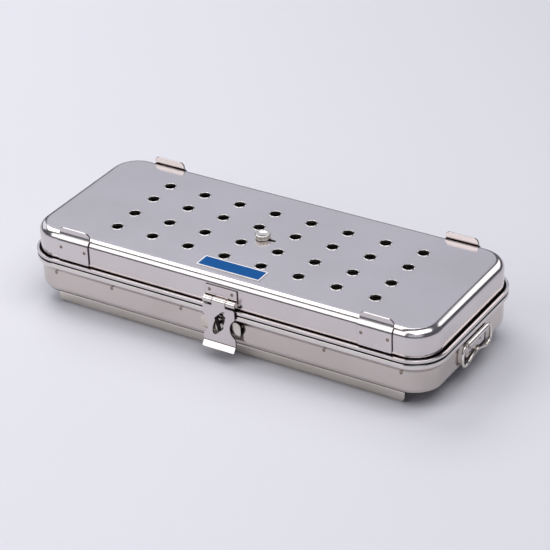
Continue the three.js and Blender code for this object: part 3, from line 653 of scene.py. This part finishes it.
shutter = {"length": 228.3, "width": 79.3, "radius": 3, "lowZ": 56, "highZ": 56.8, "knobX": -3.2,
           "studBore": 1.4, "edge": 0.05}
knob = {
    "radius": 5.15, "lowZ": 58.3, "highZ": 61.5, "knurls": 30, "knurlDeep": 0.42, "knurlSteps": 8,
    "studRadius": 1.2, "studLowZ": 53.7, "studInto": 1,
    # rings of its outline: how far inside the radius, how far above its foot or below its top, and how much
    # of the knurl shows there
    "footRings": [(5.13, 0, 0), (0.5, 0, 0), (0, 0.5, 1)],
    "topRings": [(0, 0.5, 1), (0.175, 0.175, 0.6), (0.5, 0, 0), (1.1, 0.02, 0), (1.957, 0.04, 0),
                 (2.575, 0.25, 0), (5.13, 0.25, 0)],
}


def makeShutter():
    low, high = shutter["lowZ"], shutter["highZ"]
    outline = roundedBox(shutter["length"], shutter["width"], shutter["radius"], vents["shift"])
    plate = makeObject("shutterPlate", prism(outline, low, high, "top"), material=shadedShutter)
    bore = prism(circle(shutter["knobX"], 0, shutter["studBore"]), low - past, high + past, "top")
    trim(plate, joined(bore, *ventCutters(low - past, high + past)), "DIFFERENCE", edge=shearedEdgeShade)
    dress(plate, shadedShutter, "shutter", ["shutter_plate"], edge=shutter["edge"])


def makeKnob():
    radius, low, top = knob["radius"], knob["lowZ"], knob["highZ"]
    sides = knob["knurls"] * knob["knurlSteps"]
    rings = [(radius - inside, low + up, share) for inside, up, share in knob["footRings"]]
    rings += [(radius - inside, top - down, share) for inside, down, share in knob["topRings"]]
    verts = []
    for ringRadius, z, share in rings:
        for i in range(sides):
            turn = 2 * pi * i / sides
            dip = knob["knurlDeep"] * share * (0.5 - 0.5 * cos(turn * knob["knurls"])) ** 2
            reach = ringRadius - dip
            verts.append((shutter["knobX"] + reach * cos(turn), reach * sin(turn), z))
    head = verts, ringFaces(len(rings), sides) + endFaces(len(rings), sides)
    studOutline = circle(shutter["knobX"], 0, knob["studRadius"])
    stud = prism(studOutline, knob["studLowZ"], low + knob["studInto"], "top")
    piece = makeObject("shutterKnob", joined(head, stud))
    dress(piece, bright, "shutter", ["shutter_knob"], edge=0, sharp=40)


makeShutter()
makeKnob()
print("shutter made")


# latch

latch = {
    "x": 2, "width": 24, "sheet": 1, "barrel": 2.4, "knuckle": 10, "leafTopZ": 53.3, "leafRadius": 0.6,
    "axisOut": 2.5, "axisZ": 43.6, "run": 0.3, "bore": 1.1, "edge": 0.15, "slitShort": 0.2,
    # how far its blank and the shapes that cut it reach
    "blankPast": 9, "cutOut": 8, "roomPast": 4, "footPast": 6, "footHalf": 20,
    # painted shade in the slit where the sheet's rolled end comes back to the leaf: from the leaf's face and
    # the barrel's top
    "slit": [(-0.1, -0.8), (0.12, -0.6), (0.1, 0.5), (-0.1, 0.6)],
}
hasp = {
    "drop": 29.9, "corner": 1.2, "lip": 4.8, "lipAngle": 35, "lipBend": 0.8, "lipRadius": 2.2,
    "lipRound": 1.6, "waistDrop": 17, "waistDeep": 4, "waistHalf": 7.2, "cornerSteps": 6, "waistSteps": 24,
    "buttonZ": 28.8, "openLong": 20, "openWide": 6.6, "openTilt": 25, "openSides": 48,
    "shadeBelow": 0.15, "shadeAbove": 0.9,   # painted shade in the fold over the lip
}


def makeLatchLeaf():
    place = wallPlace("front", latch["x"])
    width, barrel, run = latch["width"], latch["barrel"], latch["run"]
    low, top = latch["axisZ"], latch["leafTopZ"]
    ear, face = (width - latch["knuckle"]) / 2, case["seat"] + latch["sheet"]
    half = latch["knuckle"] / 2 + run
    blank = oblong(case["seat"], face, low - latch["blankPast"], top + latch["blankPast"])
    outline = roundedBox(width, top - low + past, latch["leafRadius"], 0, (top + low - past) / 2)
    leaf = makeObject("latchLeaf", prism(blank, -width, width, "side"), place, satin)
    cutOut, footHalf = latch["cutOut"], latch["footHalf"]
    trim(leaf, prism(outline, -past, cutOut, "front"), "INTERSECT", place, shearedEdgeShade)
    rooms = [oblong(-half, half, low - latch["roomPast"], low + barrel + run),
             oblong(-footHalf, footHalf, low - latch["footPast"], low)]
    for room in rooms:
        trim(leaf, prism(room, -past, cutOut, "front"), "DIFFERENCE", place)
    dress(leaf, satin, "lid", ["latch_leaf"], edge=latch["edge"])

    ends = [tube(barrel, latch["bore"], ear - run, latch["axisOut"], low, sign * (width - ear + run) / 2)
            for sign in (-1, 1)]
    dress(makeObject("latchKnuckles", joined(*ends), place), buffed, "lid", edge=latch["edge"])

    # a dark strip of painted shade in the slit over the barrel
    slit = [(face + out, low + barrel + up) for out, up in latch["slit"]]
    side = width / 2 - latch["slitShort"]
    strips = [prism(slit, -side, -half, "side"), prism(slit, half, side, "side")]
    dress(makeObject("latchSlitShade", joined(*strips), place), paintedShade, "lid", edge=0)


def haspOutline(lipZ):
    # the plate seen from the front: neck, shoulders, a waist of two arcs and the rounded lip
    half, neck, corner = latch["width"] / 2, latch["knuckle"] / 2, hasp["corner"]
    top, shoulder = latch["axisZ"], latch["axisZ"] - latch["barrel"] - latch["run"]
    cornerSteps, waistSteps, lipRadius = hasp["cornerSteps"], hasp["waistSteps"], hasp["lipRadius"]
    waistZ, lipUp = top - hasp["waistDrop"], lipZ + hasp["lipRound"]
    radius = (hasp["waistHalf"] ** 2 + hasp["waistDeep"] ** 2) / (2 * hasp["waistDeep"])
    sweep = degrees(asin(hasp["waistHalf"] / radius))
    centre = half - hasp["waistDeep"] + radius
    outline = [(neck, top + endsPast), (-neck, top + endsPast), (-neck, shoulder)]
    outline += arc(-half + corner, shoulder - corner, corner, 90, 180, cornerSteps)
    outline += arc(-centre, waistZ, radius, sweep, -sweep, waistSteps)
    outline += arc(-half + lipRadius, lipUp, lipRadius, 180, 270, cornerSteps)
    outline += arc(half - lipRadius, lipUp, lipRadius, 270, 360, cornerSteps)
    outline += arc(centre, waistZ, radius, 180 + sweep, 180 - sweep, waistSteps)
    outline += arc(half - corner, shoulder - corner, corner, 0, 90, cornerSteps)
    return outline + [(neck, shoulder)]


def haspOpening():
    # a tilted oval that the turn button passes through
    tilt, points = radians(-hasp["openTilt"]), []
    for i in range(hasp["openSides"]):
        turn = 2 * pi * i / hasp["openSides"]
        a, b = hasp["openWide"] / 2 * cos(turn), hasp["openLong"] / 2 * sin(turn)
        points.append((a * cos(tilt) - b * sin(tilt),
                       hasp["buttonZ"] + a * sin(tilt) + b * cos(tilt)))
    return points


def makeHasp():
    place, sheet, top = wallPlace("front", latch["x"]), latch["sheet"], latch["axisZ"]
    front, half = latch["axisOut"] + latch["barrel"], latch["width"] / 2
    angle = radians(hasp["lipAngle"])
    back, bendZ = front - sheet, top - hasp["drop"]
    lipOut, lipZ = hasp["lip"] * sin(angle), bendZ - hasp["lip"] * cos(angle)
    line = folded([(back, top), (back, bendZ), (back + lipOut, lipZ)], hasp["lipBend"], sheet)

    def inFold(spot, normal):
        return -hasp["shadeBelow"] < spot.z - bendZ < hasp["shadeAbove"] and normal.y < -0.3

    plate = makeStrip("haspPlate", bentSheet(line, sheet), half, place, satin)
    cutter = prism(haspOutline(lipZ), -past, front + lipOut + frontPast, "front")
    trim(plate, cutter, "INTERSECT", place, shearedEdgeShade)
    trim(plate, prism(haspOpening(), -past, front + frontPast, "front"), "DIFFERENCE", place, shearedEdgeShade)
    # painted shade in the fold over the lip
    paint(plate, paintedShade, inFold)
    dress(plate, satin, "hasp", ["hasp"], edge=latch["edge"])
    ring = tube(latch["barrel"], latch["bore"], latch["knuckle"], latch["axisOut"], top)
    dress(makeObject("haspKnuckle", ring, place), buffed, "hasp", edge=latch["edge"])


keeper = {"width": 30, "sheet": 1, "foot": 0.1, "face": 2.0, "rise": 2.4, "footHigh": 3, "drop": 11.5,
          "bend": 0.5, "topRadius": 3, "topSteps": 8, "lowRadius": 7, "lowSteps": 12, "bore": 1.3}
button = {"long": 10.6, "wide": 2.8, "thick": 1.2, "lean": 14, "gap": 0.4, "spindle": 1.1, "spindleBack": 1.2,
          "endSteps": 12, "edge": 0.3}


def makeKeeper():
    place, z = wallPlace("front", latch["x"]), hasp["buttonZ"]
    sheet, foot, face = keeper["sheet"], keeper["foot"], keeper["face"]
    top, low, half = z + keeper["rise"], z - keeper["drop"], keeper["width"] / 2
    footTop = low + keeper["footHigh"]
    line = [(face, top), (face, footTop + face - foot), (foot, footTop), (foot, low)]
    section = bentSheet(folded(line, keeper["bend"], sheet), sheet)
    outline = plateOutline(half, low, top, keeper["lowRadius"], keeper["lowSteps"],
                           keeper["topRadius"], keeper["topSteps"])
    piece = makeStrip("keeperPlate", section, half, place, keeperSatin)
    trim(piece, prism(outline, -endsPast, face + frontPast, "front"), "INTERSECT", place, shearedEdgeShade)
    bore = prism(circle(0, z, keeper["bore"]), -endsPast, face + frontPast, "front")
    trim(piece, bore, "DIFFERENCE", place)
    dress(piece, keeperSatin, "base", ["keeper_plate"], edge=latch["edge"])


def makeButton():
    place, z, radius = wallPlace("front", latch["x"]), hasp["buttonZ"], button["wide"] / 2
    back, thick = latch["axisOut"] + latch["barrel"] + button["gap"], button["thick"]
    reach = (button["long"] - button["wide"]) / 2
    upright = arc(0, reach, radius, 0, 180, button["endSteps"])
    upright += arc(0, -reach, radius, 180, 360, button["endSteps"])
    lean = Matrix.Rotation(radians(button["lean"]), 2)
    blade = [(x, z + y) for x, y in (lean @ Vector(point) for point in upright)]
    spindle = prism(circle(0, z, button["spindle"]), button["spindleBack"], back + thick / 2, "front")
    shape = joined(prism(blade, back, back + thick, "front"), spindle)
    piece = makeObject("turnButton", shape, place)
    dress(piece, shadedButtonSteel, "turn_button", ["turn_button"], edge=button["edge"])


makeLatchLeaf()
makeHasp()
makeKeeper()
makeButton()
print("latch made")


# hinges at the back

hinge = {"offset": 60, "width": 30, "knuckle": 11, "sheet": 1, "barrel": 1.75, "bore": 1.0, "gap": 0.4,
         "run": 0.3, "lidLeaf": 9.5, "lidBend": 0.4, "baseLeaf": 8.5, "baseBend": 0.5, "bandFace": 2.2,
         "edge": 0.12}


def leafBlank(line, bend):
    half, sheet = hinge["width"] / 2, hinge["sheet"]
    return prism(bentSheet(folded(line, bend, sheet), sheet), -half, half, "side")


def makeLidLeaf(hand, place, leafOut, axisOut):
    seat, z, clear = case["seat"], case["partingZ"], hinge["barrel"] + hinge["run"]
    middle, half = hinge["knuckle"] / 2, hinge["width"] / 2
    step = z + case["lipRise"] + hinge["run"]
    line = [(seat, step + hinge["lidLeaf"]), (seat, step), (leafOut, step), (leafOut, z)]
    leaf = makeObject("hingeLidLeaf" + hand.title(), leafBlank(line, hinge["lidBend"]), place)
    for left, right in ((-half - endsPast, -middle), (middle, half + endsPast)):
        room = oblong(left, right, z - endsPast, z + clear)
        room = prism(room, leafOut - past, axisOut + frontPast, "front")
        trim(leaf, room, "DIFFERENCE", place)
    dress(leaf, satin, "lid", [f"hinge_lid_leaf_{hand}"], edge=hinge["edge"])
    ring = tube(hinge["barrel"], hinge["bore"], hinge["knuckle"], axisOut, z)
    dress(makeObject("hingeLidKnuckle" + hand.title(), ring, place), buffed, "lid", edge=hinge["edge"])


def makeBaseLeaf(hand, place, leafOut, axisOut):
    seat, z, clear = case["seat"], case["partingZ"], hinge["barrel"] + hinge["run"]
    gap, top = hinge["knuckle"] / 2 + hinge["run"], case["bandTopZ"]
    turn, low = top - hinge["bandFace"] - hinge["gap"], top - rimBand["drop"] - hinge["gap"]
    line = [(leafOut, z), (leafOut, turn), (seat, low), (seat, low - hinge["baseLeaf"])]
    leaf = makeObject("hingeBaseLeaf" + hand.title(), leafBlank(line, hinge["baseBend"]), place)
    room = oblong(-gap, gap, z - clear, z + endsPast)
    room = prism(room, leafOut - past, axisOut + frontPast, "front")
    trim(leaf, room, "DIFFERENCE", place)
    dress(leaf, satin, "base", [f"hinge_base_leaf_{hand}"], edge=hinge["edge"])
    length = (hinge["width"] - hinge["knuckle"]) / 2 - hinge["run"]
    ends = [tube(hinge["barrel"], hinge["bore"], length, axisOut, z, end * (hinge["width"] - length) / 2)
            for end in (-1, 1)]
    knuckles = makeObject("hingeBaseKnuckles" + hand.title(), joined(*ends), place)
    dress(knuckles, buffed, "base", edge=hinge["edge"])


for hand, sign in hands.items():
    place = wallPlace("rear", sign * hinge["offset"])
    leafOut = case["lipReach"] + hinge["gap"]
    axisOut = leafOut + hinge["barrel"]
    makeLidLeaf(hand, place, leafOut, axisOut)
    makeBaseLeaf(hand, place, leafOut, axisOut)
print("hinges made")


# handles at the ends

handle = {
    "shiftY": 1.5, "plateWidth": 26, "plateHigh": 10.2, "plateRadius": 1.5, "plateSteps": 6, "sheet": 1,
    "barrel": 2.1, "bore": 1.2, "axisOut": 2.2, "axisZ": 27.8, "edge": 0.15, "barrelEdge": 0.2,
    # strips of painted shade over the barrel and under the plate, as (out, up) from the barrel's top and the
    # plate's foot, and how far their two ends lie from the plate's
    "upperEnds": (0.2, -0.2), "lowerEnds": (-2, 3),
    "upperShade": [(-0.05, -1.4), (1.3, -0.2), (0.6, 0.35), (-0.05, 0.55)],
    "lowerShade": [(-0.05, 0.4), (-0.05, -3.2), (0.1, -3.2), (0.6, 0.1)],
}
bail = {
    "wire": 1.1, "halfWidth": 19.5, "deep": 14, "dip": 3.6, "socket": 10, "elbow": 1.5, "steps": 6,
    # the right half of the wire's loop, as shares of half width and depth
    "line": [(0.86, 0.035), (0.93, 0.13), (0.985, 0.34), (1, 0.6), (0.955, 0.84), (0.83, 0.975),
             (0.68, 0.995), (0.5, 0.93), (0.33, 0.84), (0.17, 0.78)],
}


def makeHandlePlate(side, place):
    half, axisZ, low = handle["plateWidth"] / 2, handle["axisZ"], handle["axisZ"] - handle["plateHigh"]
    outline = plateOutline(half, low, axisZ, handle["plateRadius"], handle["plateSteps"])
    shape = prism(outline, case["seat"], case["seat"] + handle["sheet"], "front")
    plate = makeObject("handlePlate" + side.title(), shape, place)
    dress(plate, satin, "base", [f"handle_bracket_{side}"], edge=handle["edge"])
    roll = tube(handle["barrel"], handle["bore"], handle["plateWidth"], handle["axisOut"], axisZ)
    dress(makeObject("handleBarrel" + side.title(), roll, place), buffed, "base", edge=handle["barrelEdge"])

    # strips of painted shade over the barrel and under the plate
    top = axisZ + handle["barrel"]
    upper = [(out, top + up) for out, up in handle["upperShade"]]
    lower = [(out, low + up) for out, up in handle["lowerShade"]]
    strips = [prism(line, -half + start, half + end, "side")
              for line, (start, end) in ((upper, handle["upperEnds"]), (lower, handle["lowerEnds"]))]
    dress(makeObject("handleSlitShade" + side.title(), joined(*strips), place), paintedShade, "base", edge=0)


def makeBail(side, place):
    end, socket = handle["plateWidth"] / 2, bail["socket"]
    line = [(end - socket, 0), (end - socket / 2, 0), (end, 0), (end + bail["elbow"], 0)]
    line += [(along * bail["halfWidth"], down * bail["deep"]) for along, down in bail["line"]]
    line += [(0, bail["deep"] - bail["dip"])] + [(-along, down) for along, down in reversed(line)]
    wire = bpy.data.curves.new("wire", "CURVE")
    wire.dimensions = "3D"
    wire.bevel_depth = bail["wire"] * mm
    wire.bevel_resolution = bail["steps"]
    wire.use_fill_caps = True
    spline = wire.splines.new("BEZIER")
    spline.resolution_u = bail["steps"]
    spline.bezier_points.add(len(line) - 1)
    for point, (along, down) in zip(spline.bezier_points, line):
        point.co = (place @ Vector((handle["axisOut"], along, handle["axisZ"] - down))) * mm
        point.handle_left_type = point.handle_right_type = "AUTO"
    shown = bpy.data.objects.new("bailCurve", wire)
    scene.collection.objects.link(shown)
    mesh = bpy.data.meshes.new_from_object(shown.evaluated_get(bpy.context.evaluated_depsgraph_get()))
    bpy.data.objects.remove(shown)
    piece = bpy.data.objects.new("bailWire" + side.title(), mesh)
    scene.collection.objects.link(piece)
    dress(piece, bright, "bail_" + side, ["bail_" + side], edge=0)


for side in ("left", "right"):
    place = wallPlace(side, 0, handle["shiftY"])
    makeHandlePlate(side, place)
    makeBail(side, place)
print("handles made")


# spot welds: shallow rings that the electrode leaves

weld = {
    "radius": 1.3, "sides": 24, "askewTurn": 0.8, "plateSheet": 1,
    # each ring: share of the radius, height, and how much of that height the low side keeps
    "rings": [(1, -0.05, 1), (0.92, 0.02, 1), (0.82, 0.2, 0.6), (0.62, 0.2, 0.5), (0.46, 0.02, 0.7),
              (0.3, 0.005, 1), (0.01, 0.005, 1)],
    # pairs on a plate: half the distance between the two, and their height
    "bracket": (9.4, 49.8), "latchLeaf": (8.5, 50.1), "lidLeaf": (10, 47), "baseLeaf": (10, 24),
    "handle": (6.8, 22.8),
    # along the base's long walls, and one beside the keeper
    "wallX": (-130, -85, -30.5, 77, 132), "keeperX": 17.5, "wallZ": 28,
}


def weldMark(out, along, up):
    # a ring pushed up round a flat dimple, lower on one side where the electrode sat askew
    radius, sides, rings = weld["radius"], weld["sides"], weld["rings"]
    verts = []
    for share, high, even in rings:
        for i in range(sides):
            turn = 2 * pi * i / sides
            askew = even + (1 - even) * (0.5 - 0.5 * cos(turn - weld["askewTurn"])) * 2
            verts.append((out + high * askew, along + radius * share * cos(turn),
                          up + radius * share * sin(turn)))
    last = (len(rings) - 1) * sides
    return verts, ringFaces(len(rings), sides) + [[last + i for i in range(sides)], list(range(sides))]


def weldPair(pair, place):
    apart, z = weld[pair]
    out = case["seat"] + weld["plateSheet"]
    return [placed(weldMark(out, end * apart, z), place) for end in (-1, 1)]


def makeWelds():
    lidMarks, baseMarks = [], []
    for side in ("front", "rear"):
        for sign in (-1, 1):
            lidMarks += weldPair("bracket", wallPlace(side, sign * (case["wallX"] - bracket["inset"])))
    lidMarks += weldPair("latchLeaf", wallPlace("front", latch["x"]))
    for sign in (-1, 1):
        place = wallPlace("rear", sign * hinge["offset"])
        lidMarks += weldPair("lidLeaf", place)
        baseMarks += weldPair("baseLeaf", place)
    for side, sign in (("front", 1), ("rear", -1)):
        baseMarks += [placed(weldMark(0, sign * x, weld["wallZ"]), wallPlace(side)) for x in weld["wallX"]]
    baseMarks.append(placed(weldMark(0, weld["keeperX"], weld["wallZ"]), wallPlace("front")))
    for side in ("left", "right"):
        baseMarks += weldPair("handle", wallPlace(side, 0, handle["shiftY"]))
    dress(makeObject("lidWelds", joined(*lidMarks)), weldTint, "lid", edge=0, sharp=70)
    dress(makeObject("baseWelds", joined(*baseMarks)), weldTint, "base", edge=0, sharp=70)


makeWelds()
print("welds made")


# nodes that keep their own shape

for name, material in {
    "shutter_guide_front": rolled, "shutter_guide_rear": rolled, "knob_nut": bright, "latch_pin": bright,
    "button_washer": bright, "hinge_pin_left": bright, "hinge_pin_right": bright,
}.items():
    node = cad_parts[name]
    node.data.materials.clear()
    node.data.materials.append(material)


# floor, light and camera

def paper(name, look):
    material, tree, spot = newMaterial(name)
    fibre = addNode(tree, "TexNoise", {"Scale": perMm(look["fibreMm"]), "Detail": 3.0}, {"Vector": spot})
    tint = addNode(tree, "Mix", {"data_type": "RGBA", 6: linear(look["tint"]), 7: linear(look["deep"])},
                   {0: fibre.outputs["Fac"]})
    shader = addNode(tree, "BsdfPrincipled", {"Roughness": 0.9, "Specular IOR Level": 0.2},
                     {"Base Color": tint.outputs[2]})
    addNode(tree, "OutputMaterial", {}, {"Surface": shader.outputs[0]})
    return material


# matt paper on the floor: pale and even, with fibres that hardly show
seamlessPaper = paper("seamlessPaper", {"tint": "#E0DFE6", "deep": "#DBDAE1", "fibreMm": 1.5})

studio = {"floorHalf": 1.6, "skyColour": "#D6DBEB", "skyStrength": 0.18}
# soft boxes: where each stands, what it faces, its size in metres and how bright its cloth looks
lamps = {
    "keyOverLeft": {"spot": (-0.94, 0.5, 1.2), "aim": (-0.94, 0.5, 0), "size": (1.12, 1.24), "glow": 2.8},
    "frontLeft": {"spot": (-0.5, -0.88, 0.8), "aim": (-0.5, 0, 0.05), "size": (1.0, 0.98), "glow": 1.8},
    "backRight": {"spot": (0.42, 1.2, 0.8), "aim": (0.1, 0, 0.05), "size": (0.98, 0.55),
                  "glow": 1.9, "onPaper": False},
    "backLeftWall": {"spot": (-1.1, 1.6, 1.1), "aim": (-0.9, 0, 0.05), "size": (1.15, 1.1),
                     "glow": 0.74, "colour": "#DDE2EF"},
    "leftWall": {"spot": (-1.4, 0.35, 0.6), "aim": (0, 0, 0.05), "size": (0.9, 0.6),
                 "glow": 1.2, "colour": "#E6ECF7", "onPaper": False},
    "frontRightWall": {"spot": (1.1, -1.5, 1.0), "aim": (0.5, 0, 0.05), "size": (1.7, 1.1),
                       "glow": 0.62, "colour": "#E6E9F2", "onPaper": False},
    "overhead": {"spot": (0.6, -0.2, 1.55), "aim": (0.35, -0.1, 0), "size": (1.6, 1.4), "glow": 2.5},
}


def makeFloor():
    half = studio["floorHalf"] / mm
    outline = oblong(-half, half, -half, half)
    floor = makeObject("studioFloor", ([(x, y, 0) for x, y in outline], [[0, 1, 2, 3]]))
    floor.data.materials.append(seamlessPaper)


def makeLamp(name, lamp):
    wide, high = lamp["size"]
    light = bpy.data.lights.new(name, "AREA")
    light.shape = "RECTANGLE"
    light.size, light.size_y = wide, high
    light.energy = lamp["glow"] * pi * wide * high   # watts that give the cloth its glow
    light.color = linear(lamp.get("colour", "#FFFFFF"))[:3]
    lit = bpy.data.objects.new(name, light)
    lit.location = lamp["spot"]
    lit.rotation_euler = (Vector(lamp["aim"]) - Vector(lamp["spot"])).to_track_quat("-Z", "Y").to_euler()
    lit.visible_diffuse = lamp.get("onPaper", True)
    scene.collection.objects.link(lit)


def makeSky():
    world = bpy.data.worlds.new("studioLight")
    world.use_nodes = True
    sky = world.node_tree.nodes["Background"]
    sky.inputs["Color"].default_value = linear(studio["skyColour"])
    sky.inputs["Strength"].default_value = studio["skyStrength"]
    scene.world = world
    scene.view_settings.view_transform = "Standard"


# the photograph's view: angles in degrees, focal length and picture width in pixels, and the way from the
# lid's middle to the camera, along the camera's own axes
photoView = {"azimuth": 32.36, "elevation": 30.25, "roll": -2.17, "focalPx": 2325, "imagePx": 550,
             "filmMm": 36, "centreX": 1, "right": 4.35, "up": -23.22, "back": 1522.4,
             "nearM": 0.05, "farM": 20}


def makeCamera():
    azimuth, elevation, roll = (radians(photoView[angle]) for angle in ("azimuth", "elevation", "roll"))
    back = Vector((sin(azimuth) * cos(elevation), -cos(azimuth) * cos(elevation),
                   sin(elevation)))
    level = Vector((0, 0, 1)).cross(back).normalized()
    lifted = back.cross(level)
    right = level * cos(roll) + lifted * sin(roll)
    up = lifted * cos(roll) - level * sin(roll)
    lens = bpy.data.cameras.new("photoView")
    lens.sensor_width = photoView["filmMm"]
    lens.lens = photoView["filmMm"] * photoView["focalPx"] / photoView["imagePx"]
    lens.clip_start, lens.clip_end = photoView["nearM"], photoView["farM"]
    camera = bpy.data.objects.new("photoView", lens)
    middle = Vector((photoView["centreX"], 0, case["topZ"]))
    spot = (right * photoView["right"] + up * photoView["up"] + back * photoView["back"] + middle) * mm
    camera.matrix_world = Matrix.Translation(spot) @ Matrix((right, up, back)).transposed().to_4x4()
    scene.collection.objects.link(camera)
    scene.camera = camera


makeFloor()
for name, lamp in lamps.items():
    makeLamp(name, lamp)
makeSky()
makeCamera()
print("studio made")
